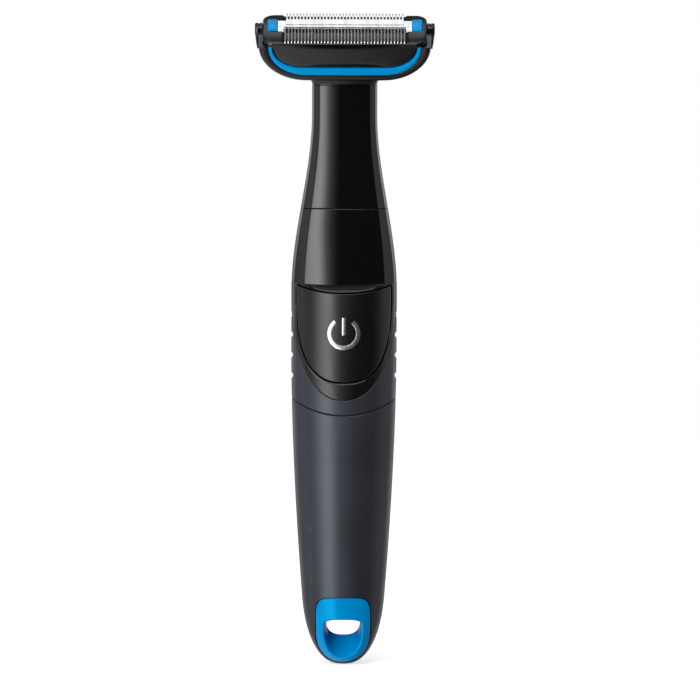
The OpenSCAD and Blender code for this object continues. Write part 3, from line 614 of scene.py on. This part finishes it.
def build_bezel():
    outer = shield_curve(BEZEL_W + 0.14, SHIELD_TOP - SHIELD_Z0, BEZEL_N)
    inner = shield_curve(BUTTON_W + 2 * BUTTON_GAP, BUTTON_TALL + BUTTON_GAP, BUTTON_N)
    step = inner - outer
    width = np.hypot(*step.T)
    unit = step / width[:, None]
    edge, lip, back = 0.22, 0.55, WALL - 0.02

    def inward(inset):
        return outer + unit * np.broadcast_to(inset, len(outer))[:, None]

    def row(inset, depth):
        inset = np.minimum(inset, width * 0.5)
        return np.array([on_front(x, z, depth) for x, z in inward(inset)])

    rows = [row(0, back), row(0, 0.25)]
    rows += [row(inset, drop) for inset, drop in fillet(edge)[::-1]]
    start, end = np.minimum(edge, width * 0.5), np.maximum(width - lip, width * 0.55)
    for s in np.linspace(0, 1, 8)[1:]:
        rows.append(np.array([on_front(x, z) for x, z in inward(mix(start, end, s))]))
    rows.append(np.array([pushed(x, z, 0.12) for x, z in inward(width - lip * 0.25)]))
    for depth in (0.35, back):
        rows.append(np.array([pushed(x, z, depth) for x, z in inward(width)]))
    columns = np.array(rows).transpose(1, 0, 2)
    mesh_piece("button_frame", *loft(columns), "handle", "satin_black", "button_bezel", 50)


def shield_ring(inset, depth):
    """Closed outline of the button, drawn in by a distance and sunk by a depth."""
    curve = shield_curve(BUTTON_W, BUTTON_TALL, BUTTON_N, gap=BUTTON_GAP)
    x = np.linspace(BUTTON_W / 2, -BUTTON_W / 2, 60)[1:-1]
    top = np.column_stack([x, arc_z(x, LEDGE_Z, LEDGE_RISE) - BUTTON_GAP])
    ring = np.concatenate([curve, top])
    edge = np.roll(ring, -1, axis=0) - np.roll(ring, 1, axis=0)
    normal = np.column_stack([-edge[:, 1], edge[:, 0]])
    normal /= np.maximum(np.hypot(*normal.T), 1e-9)[:, None]
    return np.array([pushed(x, z, depth) for x, z in ring + normal * inset])


def build_button():
    rings = [shield_ring(0, BUTTON_BACK), shield_ring(0, 0.1)]
    for inset, drop in fillet(0.3)[::-1]:
        rings.append(shield_ring(inset, drop - BUTTON_PROUD))
    middle_z = (SHIELD_TOP + SHIELD_Z0) / 2 + 3

    def shrunk(ring, s, depth):
        return np.array([pushed(x * (1 - s), mix(z, middle_z, s), depth) for x, _, z in ring])

    back = [shrunk(rings[0], s, BUTTON_BACK) for s in (0.97, 0.6, 0.3)]
    face = [shrunk(rings[-1], s, -BUTTON_PROUD) for s in np.linspace(0, 1, 34)[1:-1]]
    mesh_piece("shield_button", *loft(back + rings + face), "button", "satin_black",
               "on_off_button")


def raised_stroke(path, half):
    """Flat stroke with rounded edges and ends along a path of x and z points on the button."""
    height, sink = 0.09, 0.15
    path = np.array(path)
    along = np.gradient(path, axis=0)
    along /= np.hypot(*along.T)[:, None]
    side = np.column_stack([-along[:, 1], along[:, 0]])
    edge = [(half, sink), (half, 0.02), (half - 0.05, -height * 0.75), (half - 0.12, -height)]
    profile = [(-x, y) for x, y in edge] + edge[::-1]
    columns = []
    for p, s in zip(path, side):
        columns.append([pushed(*(p + s * x), y - BUTTON_PROUD) for x, y in profile])
    return loft(columns)


def build_symbol():
    radius = SYMBOL_D / 2 - SYMBOL_LINE / 2
    gap = math.radians(37)
    turns = np.linspace(math.pi / 2 + gap, 5 * math.pi / 2 - gap, 90)
    ring = [(radius * math.cos(a), SYMBOL_Z + radius * math.sin(a)) for a in turns]
    stem = [(0, SYMBOL_Z + h) for h in np.linspace(-0.5, 4.4, 20)]
    verts, faces = join_parts([raised_stroke(ring, SYMBOL_LINE / 2), raised_stroke(stem, 0.56)])
    mesh_piece("power_mark", verts, faces, "button", "silver_print", "power_symbol", 30)


# ---- Collar and neck ----

NECK_FRONT = [(-1, 0.33), (-0.94, 0.68), (-0.77, 0.91), (0.77, 0.91), (0.94, 0.68), (1, 0.33)]
LEDGE_FRONT = [(-1, 0.1), (-0.955, 0.4), (-0.77, 0.71), (0.77, 0.71), (0.955, 0.4), (1, 0.1)]
NECK_SPLIT = 1.5
NECK_WALL = 0.9


def oval_depth(x):
    """Depth of the oval section at a share of its half width."""
    return np.clip(1 - abs(x) ** GRIP_N, 0, None) ** (1 / GRIP_N)


def front_path(corners, bulge):
    """Front of the faceted section, as shares of its half width and depth, from the left."""
    r, steps, crowned = 0.035, 5, 0.77
    points = [np.array(corners[0], float)]
    for a, b, c in zip(corners[:-2], corners[1:-1], corners[2:]):
        a, b, c = (np.array(p, float) for p in (a, b, c))
        back = b + (a - b) / np.linalg.norm(a - b) * r
        ahead = b + (c - b) / np.linalg.norm(c - b) * r
        for t in np.linspace(0, 1, steps):
            points.append((1 - t) ** 2 * back + 2 * t * (1 - t) * b + t * t * ahead)
    points.append(np.array(corners[-1], float))
    # The flat in the middle is cut up for its bulge, and the other flats a little
    middle = len(points) // 2 - 1
    fine = [points[0]]
    for i, (a, b) in enumerate(zip(points[:-1], points[1:])):
        pieces = 30 if i == middle else 3 if i % steps == 0 else 1
        fine += [mix(a, b, k / pieces) for k in range(1, pieces + 1)]
    fine = np.array(fine)
    fine[:, 1] += np.clip(1 - (fine[:, 0] / crowned) ** 2, 0, None) * bulge
    return fine


NECK_PATH, LEDGE_PATH = front_path(NECK_FRONT, 0.09), front_path(LEDGE_FRONT, 0.105)


def back_bend(share):
    """Exponent of the back of the section, from the ledge to the neck."""
    return mix(0.87, 0.8, share)


def back_path(w, d, share, y_from):
    """Back of the section in x and y, from its right end to its left end, from a given y on."""
    e = back_bend(share)
    first = math.asin(min(1, (y_from / d) ** (1 / e))) if y_from > 0 else 0.0
    t = np.linspace(first, math.pi - first, 60)
    return np.column_stack([w * np.sign(np.cos(t)) * abs(np.cos(t)) ** e, d * np.sin(t) ** e])


def side_path(w, d, share, y_to):
    """Right-hand stretch of the back from y 0 to a given y."""
    e = back_bend(share)
    last = math.asin(min(1, (y_to / d) ** (1 / e)))
    t = np.linspace(0, last, 7)
    return np.column_stack([w * abs(np.cos(t)) ** e, d * np.sin(t) ** e])


def front_points(w, d, share=1.0, on_oval=0.0):
    """Front of a section: share 0 is the ledge's outline and 1 the neck's."""
    path = mix(LEDGE_PATH, NECK_PATH, share)
    return np.column_stack([w * path[:, 0], -d * mix(path[:, 1], oval_depth(path[:, 0]), on_oval)])


def build_collar():
    edge, bevel, foot_gap, shelf_rise = 0.16, 0.1, 0.02, 2.05

    def section(z, inset, on_oval):
        share = float(smooth((z - LEDGE_Z) / (NECK_Z - LEDGE_Z)))
        w, d = half_w(z) - inset, half_d(z) - inset
        back = back_path(w, d, share, 0.0)[1:-1]
        return np.concatenate([front_points(w, d, share, on_oval), back])

    def ring(heights, inset=0.0, on_oval=0.0):
        heights = np.broadcast_to(heights, len(base)).astype(float)
        return np.array([(*section(z, inset, on_oval)[j], z) for j, z in enumerate(heights)])

    base = section(LEDGE_Z, 0.0, 1.0)
    front = base[:, 1] < 0
    dip = arc_z(base[:, 0], LEDGE_Z, LEDGE_RISE)
    line = LEDGE_Z + shelf_rise + 0.55 * (abs(base[:, 0]) / (GRIP_W / 2)) ** 2
    start = np.where(front, np.maximum(line, dip), dip) + foot_gap
    rings = [ring(dip - 0.3, WALL, 1.0), ring(dip + foot_gap, 1.2, 1.0)]
    rings += [ring(dip + foot_gap + rise, inset, 1.0) for inset, rise in fillet(0.14)]
    rim, foot = rings[-1], ring(start)
    for s in np.linspace(0, 1, 7)[1:]:
        shelf = mix(rim, foot, s)
        swell = 0.28 * np.sin(math.pi * s) * np.clip((foot[:, 2] - rim[:, 2]) / 1.9, 0, 1)
        shelf[:, 1] -= swell * front
        rings.append(shelf)
    rings += [ring(mix(start, NECK_Z - edge, s)) for s in np.linspace(0, 1, 40)[1:]]
    rings += [ring(NECK_Z - drop, inset) for inset, drop in fillet(edge)[::-1][1:]]
    rings += [ring(NECK_Z, NECK_WALL - bevel), ring(NECK_Z - bevel, NECK_WALL)]
    for s in (0.4, 0.8):
        rings.append(ring(mix(NECK_Z - bevel, dip - 0.3, s), mix(NECK_WALL, WALL, s)))
    mesh_piece("collar_casing", *loft(rings, capped=False), "handle", "gloss_black",
               "collar_shell", 24)


def neck_half(front):
    """One moulded half of the neck: an open wall with rounded joint edges."""
    edge, split_gap = 0.16, 0.03

    def wall(z, inset):
        w, d = half_w(z) - inset, half_d(z) - inset
        if front:
            side = side_path(w, d, 1.0, NECK_SPLIT - split_gap)
            mirrored = side[::-1] * [-1, 1]
            return np.concatenate([mirrored[:-1], front_points(w, d), side[1:]])
        return back_path(w, d, 1.0, NECK_SPLIT + split_gap)

    def ring(z, inset):
        outer, inner = wall(z, inset), wall(z, max(NECK_WALL, inset))
        ring = np.concatenate([outer, inner[::-1]])
        return np.column_stack([ring, np.full(len(ring), z)])

    bottom, top = NECK_Z + JOINT_GAP, NECK_TOP
    rings = [ring(bottom + rise, inset) for inset, rise in fillet(edge)]
    rings += [ring(z, 0) for z in np.linspace(bottom + edge, top - edge, 60)[1:-1]]
    rings += [ring(top - drop, inset) for inset, drop in fillet(edge)[::-1]]
    return loft(rings)


def build_neck():
    for side in ("front", "rear"):
        verts, faces = neck_half(side == "front")
        mesh_piece(f"neck_{side}", verts, faces, "shaving_head", "gloss_black",
                   f"neck_{side}_shell", 24)


def head_point(points):
    """Turns head points (x, v to the rear, w out of the face) into body points."""
    p = np.array(points, float)
    c, s = math.cos(HEAD_TILT), math.sin(HEAD_TILT)
    return np.column_stack([
        p[:, 0], FACE_Y + p[:, 1] * c - p[:, 2] * s, FACE_Z + p[:, 1] * s + p[:, 2] * c
    ])


def head_piece(name, part, slot, node, sharp=SHARP):
    """Piece of the removable head, from (points, faces) in head points."""
    verts, faces = part
    mesh_piece(name, head_point(verts), faces, "shaving_head", slot, node, sharp)


# ---- Trimming head ----

CRADLE_FLAT, ARM_TOP = 11.0, -1.8
TRAY_FLAT, TRAY_GAP = CRADLE_FLAT + 1, 0.15
ARM_HALF = CASSETTE_W / 2 + 1
BAND_HALF = ARM_HALF - 2.7
TRAY_HALF = BAND_HALF - 1.1
BAND_DEPTH = BOWL_DEPTH - 2.9
TRAY_DEPTH = BAND_DEPTH - 2.3
TIP_HALF = CASSETTE_D / 2
HEAD_V = TIP_HALF + 0.8
FRONT_EDGE, REAR_EDGE = -1.5, 4.0
WINDOW_V = (FRONT_EDGE + REAR_EDGE) / 2
CAP_IN, CAP_OUT = CASSETTE_W / 2 - 4.2, CASSETTE_W / 2 - 1.35


def bowl(half, flat, depth, top=ARM_TOP):
    """Bowl outline in x and w, from its left end down and round to its right end."""
    t = np.linspace(0, math.pi / 2, 72)
    quarter = np.column_stack([
        flat + (half - flat) * np.cos(t), top - 0.4 - (depth + top + 0.4) * np.sin(t)
    ])
    bottom = np.column_stack([np.linspace(flat, 0, 24)[1:], np.full(23, -depth - 0.8)])
    right = np.concatenate([[(half, top)], quarter, bottom])
    return np.concatenate([right[:-1] * [-1, 1], right[::-1]])


def bowl_shell(outer, inner, half_v, r_out, r_in, bulge=0.0, crown=0.0, slim=0.0):
    """Wall between two bowl outlines, as deep as half_v on each side, with rounded edges.

    The crown draws the ends of the front back, and slim narrows the back of the two arms.
    """
    width = np.maximum(np.hypot(*(inner - outer).T), 1e-6)
    unit = (inner - outer) / width[:, None]
    columns = []
    for p, u, wide in zip(outer, unit, width):
        ro, ri = min(r_out, wide * 0.45), min(r_in, wide * 0.45)
        profile = [(inset, -half_v + drop) for inset, drop in fillet(ro)[::-1]]
        profile += [(wide / 2, -half_v - bulge)]
        profile += [(wide - inset, -half_v + drop) for inset, drop in fillet(ri)]
        profile += [(wide - inset, half_v - drop) for inset, drop in fillet(ri)[::-1]]
        profile += [(inset, half_v - drop) for inset, drop in fillet(ro)]
        front = crown * (p[0] / ARM_HALF) ** 2
        back = -slim * float(smooth((p[1] - ARM_TOP + 5.2) / 5.2))
        columns.append([
            (p[0] + u[0] * o, v + (front if v < 0 else back), p[1] + u[1] * o) for o, v in profile
        ])
    return loft(columns)


def build_cradle():
    outer = bowl(ARM_HALF, CRADLE_FLAT, BOWL_DEPTH - 0.8)
    inner = bowl(BAND_HALF, CRADLE_FLAT, BAND_DEPTH)
    cradle = bowl_shell(outer, inner, HEAD_V, 1.3, 0.2, crown=0.7, slim=4.2)
    head_piece("cradle_bowl", cradle, "semi_gloss_black", "head_cradle", 45)
    outer = bowl(BAND_HALF - 0.06, CRADLE_FLAT, BAND_DEPTH - 0.06)
    inner = bowl(TRAY_HALF, TRAY_FLAT, TRAY_DEPTH)
    band = bowl_shell(outer, inner, HEAD_V + 0.12, 0.3, 0.3, bulge=0.05, crown=0.7, slim=4.2)
    head_piece("bowl_band", band, "blue_plastic", "blue_band", 45)


def apron(v_face, v_back, top):
    """Crowned plate that fills the tray's outline."""
    outline = bowl(TRAY_HALF - TRAY_GAP, TRAY_FLAT, TRAY_DEPTH - TRAY_GAP, top)
    across = np.linspace(outline[-1, 0], outline[0, 0], 50)[1:-1]
    top_line = np.column_stack([across, np.full(len(across), top)])
    ring = np.concatenate([outline, top_line])
    centre = np.array([0, (top - TRAY_DEPTH) * 0.5])
    out = math.copysign(1, v_face - v_back)
    half = np.abs(ring[:, 0]).max()

    def level(s, drop):
        p = mix(ring, centre + (ring - centre) * [0.9, 0.0], s)
        rise = np.sin(min(s * 1.7, 1) * math.pi / 2)
        crown = 0.55 * np.clip(1 - (p[:, 0] / half) ** 2, 0, None) * rise
        return np.column_stack([p[:, 0], v_face + out * (crown - drop), p[:, 1]])

    rings = [at_y(ring, v_back)]
    rings += [level(0.0, 0.3), level(0.015, 0.1), level(0.04, 0.0)]
    rings += [level(s, 0.0) for s in np.linspace(0.1, 1.0, 14)]
    return loft(rings)


def build_aprons():
    face, thick = TIP_HALF + 0.35, 0.5
    for name, node, side, top in (("apron_front", "front_apron", -1, -0.45),
                                  ("apron_rear", "rear_apron", 1, -1.5)):
        plate = apron(side * face, side * (face - thick), top)
        head_piece(name, plate, "gloss_black", node, 50)


def build_throat():
    """Piece between the upright neck and the tilted cradle."""

    def outline(w, d, height):
        flat = np.concatenate([front_points(w, d), back_path(w, d, 1.0, 0.0)[1:-1]])
        return np.column_stack([flat, np.full(len(flat), height)])

    lower = outline(half_w(NECK_TOP) - 0.1, half_d(NECK_TOP) - 0.1, NECK_TOP + 0.06)
    upper = head_point(outline(CRADLE_FLAT, HEAD_V - 2, -BOWL_DEPTH - 0.03))
    rings = []
    for s in np.linspace(0, 1, 16):
        ring = mix(lower, upper, s)
        ring[:, :2] = mix(lower[:, :2], upper[:, :2], s ** 1.3)
        rings.append(ring)
    hollow = [mix(ring.mean(axis=0), ring, 0.62) for ring in rings[::-1]]
    mesh_piece("head_throat", *loft(rings + hollow, capped=False), "shaving_head",
               "semi_gloss_black", "neck_cap")


def rounded_rectangle(half_x, half_v, r, centre_v, count):
    """Closed outline in x and v with round corners."""
    points = []
    for quadrant, (sx, sv) in enumerate(((1, 1), (-1, 1), (-1, -1), (1, -1))):
        for a in np.linspace(0, math.pi / 2, 12) + quadrant * math.pi / 2:
            points.append((sx * (half_x - r) + r * math.cos(a),
                           centre_v + sv * (half_v - r) + r * math.sin(a)))
    return resample(np.array(points), count)


FRAME_FACE = -0.12


def frame_rings():
    """Rings of the cassette's frame, over its face and down to the window for the foil strip."""
    count = 480
    outer = rounded_rectangle(CASSETTE_W / 2, TIP_HALF - 0.06, 3.0, 0, count)
    inner = rounded_rectangle(CAP_OUT + 0.08, (REAR_EDGE - FRONT_EDGE) / 2 + 0.12, 0.5,
                              WINDOW_V, count)
    step = inner - outer
    unit = step / np.hypot(*step.T)[:, None]

    def placed_at(p, w):
        """The frame is crowned, and dips under the two combs."""
        under = smooth((CAP_IN - 1.45 - abs(p[:, 0])) / 0.3) * (min(max(w + 2.0, 0), 2) / 2)
        crown = 0.009 * p[:, 1] ** 2 * (w > -1.3)
        return np.column_stack([p, w - 0.45 * under - crown])

    rings = [placed_at(outer, -1.9), placed_at(outer, -1.31)]
    for inset, drop in fillet(0.8, 6)[::-1]:
        rings.append(placed_at(outer + unit * inset, FRAME_FACE - drop))
    for s in np.linspace(0.3, 0.96, 8):
        rings.append(placed_at(mix(outer, inner, s), FRAME_FACE))
    for s, w in ((1, FRAME_FACE - 0.15), (1, -1.55), (1, -3.2), (0.5, -3.2)):
        rings.append(placed_at(mix(outer, inner, s), w))
    return rings


def build_cassette():
    wall, level = 1.15, -1.4
    half, depth = TRAY_HALF - TRAY_GAP, TRAY_DEPTH - TRAY_GAP
    tray_out = bowl(half, TRAY_FLAT, depth, level)
    tray_in = bowl(half - wall, TRAY_FLAT - 0.4, depth - wall, level)
    tray = bowl_shell(tray_out, tray_in, TIP_HALF - 0.25, 0.2, 0.2)
    body = join_parts([loft(frame_rings(), capped=False), tray])
    head_piece("cassette_body", body, "semi_gloss_black", "cassette_frame")


def bar(x, half, profile, chamfer):
    """Straight bar across X at x, from a side profile in v and w, with chamfered long edges."""
    profile = np.array(profile, float)
    centre = profile.mean(axis=0)
    inner = centre + (profile - centre) * (1 - 2 * chamfer / np.ptp(profile, axis=0).clip(0.3))
    columns = [
        np.column_stack([np.full(len(p), x + dx), p[:, 0], p[:, 1]])
        for dx, p in ((-half, inner), (-half + chamfer, profile),
                      (half - chamfer, profile), (half, inner))
    ]
    return loft(columns)


def tooth_profile(root, tip, hook):
    """Side view of a comb tooth: flat top, then a rounded tip that turns down."""
    side, thick, r = math.copysign(1, tip - root), 0.4, 0.7
    inner = r - thick
    top = [(root, -0.03), (root + side * 0.3, 0.0)]
    for a in np.linspace(0, math.pi / 2, 7):
        top.append((tip - side * r + side * r * math.sin(a), -r + r * math.cos(a)))
    under = [(tip, -hook), (tip - side * thick, -hook)]
    for a in np.linspace(math.pi / 2, 0, 4):
        under.append((tip - side * (thick + inner) + side * inner * math.sin(a),
                      -thick - inner + inner * math.cos(a)))
    return top + under + [(root, -thick)]


def tooth_places(half):
    count = int(2 * half / TOOTH_PITCH) - 1
    places = [(i - (count + 1) / 2) * TOOTH_PITCH for i in range(count + 2)]
    return [x for x in places if abs(x) < half - 0.1]


def build_comb(name, node, half, root, tip, land, hook, width, chamfer):
    """Row of teeth from a land beside the middle line to the tips, all out from the face."""
    past = root + math.copysign(0.05, tip - root)
    start = land + math.copysign(0.05, tip - root)
    profile = tooth_profile(root, tip, hook)
    parts = [bar(x, width, profile, chamfer) for x in tooth_places(half)]
    strip = [(land, -0.05), (start, 0.0), (root, 0.0), (past, -0.08), (past, -0.4), (land, -0.4)]
    parts.append(bar(0, half, strip, 0.05))
    head_piece(name, join_parts(parts), "blade_steel", node, 35)


def build_combs():
    build_comb("comb_front", "front_comb", half=CAP_IN - 1.7, root=0.2, tip=-TIP_HALF,
               land=WINDOW_V - 0.2, hook=1.5, width=0.17, chamfer=0.13)
    build_comb("comb_rear", "rear_comb", half=CAP_IN - 2.3, root=REAR_EDGE + 0.05, tip=TIP_HALF,
               land=WINDOW_V + 0.2, hook=1.2, width=0.22, chamfer=0.07)


def build_guard():
    """Bright plate that shows between the combs and at their ends."""
    half, root, end, top, lower, foot = CAP_IN - 0.05, 0.15, 1.6, -0.42, -0.5, -0.86
    bars = [(0, half, root, WINDOW_V - 0.12), (0, half, WINDOW_V + 0.12, REAR_EDGE)]
    bars += [(side * (half - end / 2), end / 2, FRONT_EDGE, root) for side in (-1, 1)]
    parts = []
    for x, wide, v0, v1 in bars:
        profile = [(v0, lower), (v0 + 0.1, top), (v1 - 0.1, top), (v1, lower),
                   (v1, foot), (v0, foot)]
        parts.append(bar(x, wide, profile, 0.05))
    head_piece("guard_plate", join_parts(parts), "blade_steel", "cutter_guard", 35)


def block(low_corner, high_corner, r):
    """Rounded block, as a stack of rounded rectangles."""
    a, b = np.array(low_corner, float), np.array(high_corner, float)
    size, centre = (b - a) / 2, (a + b) / 2
    levels = [(inset, a[2] + drop) for inset, drop in fillet(r)]
    levels += [(inset, b[2] - drop) for inset, drop in fillet(r)[::-1]]
    rings = []
    for inset, w in levels:
        corner = max(r - inset, 0.05)
        plan = rounded_rectangle(size[0] - inset, size[1] - inset, corner, 0, 64)
        rings.append(np.column_stack([plan + centre[:2], np.full(64, w)]))
    return loft(rings)


def build_end_caps():
    for side, name in ((-1, "left"), (1, "right")):
        x0, x1 = sorted((side * CAP_IN, side * CAP_OUT))
        cap_block = block((x0, FRONT_EDGE, -1.5), (x1, REAR_EDGE, 0.12), 0.3)
        head_piece(f"cap_{name}", cap_block, "blue_plastic", f"{name}_end_cap")


CATCH_V, CATCH_W, CATCH_R = 1.9, -2.2, 2.0


def knob(side):
    """Turned knob at the end of the head, with a groove and a rounded outer edge."""
    x0 = CASSETTE_W / 2 + 0.03
    profile = [(0.0, -0.15), (0.12, 0.0), (0.75, 0.0), (0.85, -0.22), (1.05, -0.22), (1.15, 0.0),
               (1.7, 0.0), (1.95, -0.1), (2.07, -0.32), (2.1, -0.6), (2.0, -0.95),
               (1.98, 0.05 - CATCH_R)]
    angles = turn(56)
    rings = []
    for dx, dr in profile:
        r = CATCH_R + dr
        rings.append(np.column_stack([np.full(len(angles), side * (x0 + dx)),
                                      CATCH_V + r * np.cos(angles), CATCH_W + r * np.sin(angles)]))
    return loft(rings)


def build_catches():
    x0, x1, lean, reach = ARM_HALF + 0.1, ARM_HALF + 1.1, 0.55, 5.8

    def plate(side, half_v, bottom, top, r):
        a, b = sorted((side * x0, side * x1))
        return block((a, CATCH_V - half_v, CATCH_W + bottom),
                     (b, CATCH_V + half_v, CATCH_W + top), r)

    for side, name in ((-1, "left"), (1, "right")):
        lug, tab = plate(side, 1.7, -4.2, 0.2, 0.35), plate(side, 0.7, -reach, -3.8, 0.25)
        verts, faces = join_parts([knob(side), lug, tab])
        below = np.clip((CATCH_W - verts[:, 2]) / reach, 0, 1)
        verts[:, 0] -= side * lean * below * (abs(verts[:, 0]) > (x0 + x1) / 2)
        head_piece(f"catch_{name}", (verts, faces), "semi_gloss_black", f"{name}_catch")


# ---- CAD pieces that keep their shape ----

CAD_SLOTS = {
    "inner_plastic": ["battery_carriage", "spigot_ring", "motor_holder", "button_stem"],
    "seal_rubber": ["seal_ring", "spigot_seal", "button_seal", "shaft_boot"],
    "battery_jacket": ["battery_can"],
    "contact_brass": ["battery_terminal", "positive_contact", "switch_plunger", "motor_terminals"],
    "spring_steel": ["negative_spring", "negative_strip", "blade_springs"],
    "motor_steel": ["motor_can", "motor_screws", "motor_shaft", "lever_pin"],
    "drive_plastic": ["motor_end_cap", "eccentric", "drive_lever", "blade_carrier"],
    "board_green": ["circuit_board"],
    "chip_black": ["board_parts", "switch_body"],
    "wire_red": ["lead_wires"],
    "blade_steel": ["moving_blade"],
}


def dress_cad():
    for slot, names in CAD_SLOTS.items():
        for name in names:
            dress(NODES[name], slot)


# ---- Stage ----

def make_floor():
    """Pale floor that fades into the pale background away from the object."""
    radius, below, fade_from, fade_to = 0.9, 0.00002, 0.22, 0.8
    points = [(radius * math.cos(a), radius * math.sin(a), -below) for a in turn(96)]
    floor = new_object("floor", points, [range(96)])
    n = Finish("floor_paper")
    paper = n.blend(n.noise(900.0), (0.86, 0.86, 0.86, 1), (0.88, 0.88, 0.88, 1))
    n.set("Base Color", paper)
    n.set("Roughness", 0.7)
    place = n.add("ShaderNodeNewGeometry")
    length = n.add("ShaderNodeVectorMath", operation="LENGTH")
    n.fill(length.inputs[0], place.outputs["Position"])
    n.set("Alpha", n.ranged(length.outputs["Value"], fade_from, fade_to, 1.0, 0.0))
    n.set("Emission Color", (1, 1, 1, 1))
    n.set("Emission Strength", 0.6)
    floor.data.materials.append(n.material)
    floor.visible_glossy = False
    floor.visible_diffuse = False


# Brightness of the studio by bearing in degrees: 0 is behind the camera, negative to the left
LEFT_STRIP = [(-60, 0.6), (-46, 1.8), (-34, 3.8), (-26, 4.8), (-18, 6.0), (-15, 4.0), (-13, 1.8),
              (-10.7, 0.9), (-8.6, 0.45), (-6.4, 0.2), (-4, 0.03)]
LEFT_REAR = [(-180, 0.25), (-160, 0.3), (-150, 1.0), (-140, 0.5), (-118, 0.3), (-95, 0.8),
             (-76, 0.6)]
RIGHT_SIDE = [(58, 0.03), (76, 0.4), (95, 0.6), (118, 0.3), (140, 0.5), (150, 1.0), (160, 0.3),
              (180, 0.25)]
STUDIO = LEFT_REAR + LEFT_STRIP + RIGHT_SIDE
# Soft boxes overhead: direction, half angle in degrees and brightness
BOXES = [((0, 0.375, 0.927), 6.5, 1.35), ((0, -0.35, 0.937), 25, 1.2), ((0, -0.72, 0.69), 12, 3.5)]
BOX_BLUR = 2.5


def round_light(n, bearing):
    """Brightness of the studio's walls at a bearing in radians."""
    brightest = max(value for _, value in STUDIO)
    ramp = n.add("ShaderNodeValToRGB")
    points = ramp.color_ramp.elements
    while len(points) < len(STUDIO):
        points.new(0.5)
    for point, (degrees, value) in zip(points, STUDIO):
        point.position = degrees / 360 + 0.5
        point.color = (value / brightest,) * 3 + (1,)
    n.fill(ramp.inputs["Fac"], n.maths("ADD", n.maths("DIVIDE", bearing, 2 * math.pi), 0.5))
    return n.maths("MULTIPLY", ramp.outputs["Color"], brightest)


def box_light(n, place, direction, half_angle, strength):
    """Brightness of a round soft box seen in a direction."""
    aim = n.add("ShaderNodeVectorMath", operation="DOT_PRODUCT")
    n.fill(aim.inputs[0], place)
    n.fill(aim.inputs[1], direction)
    outer, inner = (math.cos(math.radians(half_angle + d)) for d in (BOX_BLUR, -BOX_BLUR))
    return n.ranged(aim.outputs["Value"], outer, inner, 0.0, strength, "SMOOTHSTEP")


def studio_light(n):
    """Brightness of the studio: walls, soft boxes, the table below and a dim ceiling."""
    place = n.add("ShaderNodeTexCoord").outputs["Generated"]
    axes = n.add("ShaderNodeSeparateXYZ")
    n.fill(axes.inputs[0], place)
    across, back, up = axes.outputs
    walls = round_light(n, n.maths("ARCTAN2", across, n.maths("MULTIPLY", back, -1.0)))
    height = n.maths("ABSOLUTE", up)
    level = n.maths("MULTIPLY", walls, n.ranged(height, 0.5, 0.75, 1.0, 0.0, "SMOOTHSTEP"))
    for direction, half_angle, strength in BOXES:
        level = n.maths("ADD", level, box_light(n, place, direction, half_angle, strength))
    table = n.maths("MULTIPLY", n.ranged(up, -0.85, -0.5, 1.0, 0.0, "SMOOTHSTEP"),
                    n.ranged(across, -0.14, 0.14, 1.1, 0.2, "SMOOTHSTEP"))
    ceiling = n.ranged(up, 0.4, 0.9, 0.04, 0.2, "SMOOTHSTEP")
    return n.maths("ADD", level, n.maths("ADD", table, ceiling))


def make_world():
    """Soft studio that lights the object, in front of a plain white that the camera sees."""
    world = bpy.data.worlds.new("studio")
    world.use_nodes = True
    n = Nodes(world.node_tree)
    n.tree.nodes.clear()
    light, seen = n.add("ShaderNodeBackground"), n.add("ShaderNodeBackground")
    n.fill(light.inputs["Color"], studio_light(n))
    n.fill(seen.inputs["Color"], (1, 1, 1, 1))
    either = n.add("ShaderNodeMixShader")
    path = n.add("ShaderNodeLightPath")
    for socket, value in zip(either.inputs, (path.outputs["Is Camera Ray"], light.outputs[0],
                                             seen.outputs[0])):
        n.fill(socket, value)
    n.fill(n.add("ShaderNodeOutputWorld").inputs["Surface"], either.outputs[0])
    bpy.context.scene.world = world


def make_camera():
    """Long lens, a little above the object, at the front."""
    frame_width, distance, elevation, roll = 195.85, 2.0, math.radians(4), math.radians(-0.18)
    target = np.array([1.27, 0.0, 88.3]) * MM
    data = bpy.data.cameras.new("camera")
    data.sensor_width = 36
    data.lens = data.sensor_width * distance / (frame_width * MM)
    camera = bpy.data.objects.new("camera", data)
    bpy.context.scene.collection.objects.link(camera)
    camera.location = target + distance * np.array([0, -math.cos(elevation), math.sin(elevation)])
    camera.rotation_euler = (math.pi / 2 - elevation, roll, 0)
    data.clip_start, data.clip_end = 0.05, 20
    bpy.context.scene.camera = camera


make_camera()
make_world()
make_floor()
bpy.context.scene.view_settings.view_transform = "Standard"
build_cover()
build_liner()
build_grip()
build_bezel()
build_button()
build_symbol()
build_collar()
build_neck()
build_throat()
build_cradle()
build_aprons()
build_cassette()
build_combs()
build_guard()
build_end_caps()
build_catches()
dress_cad()
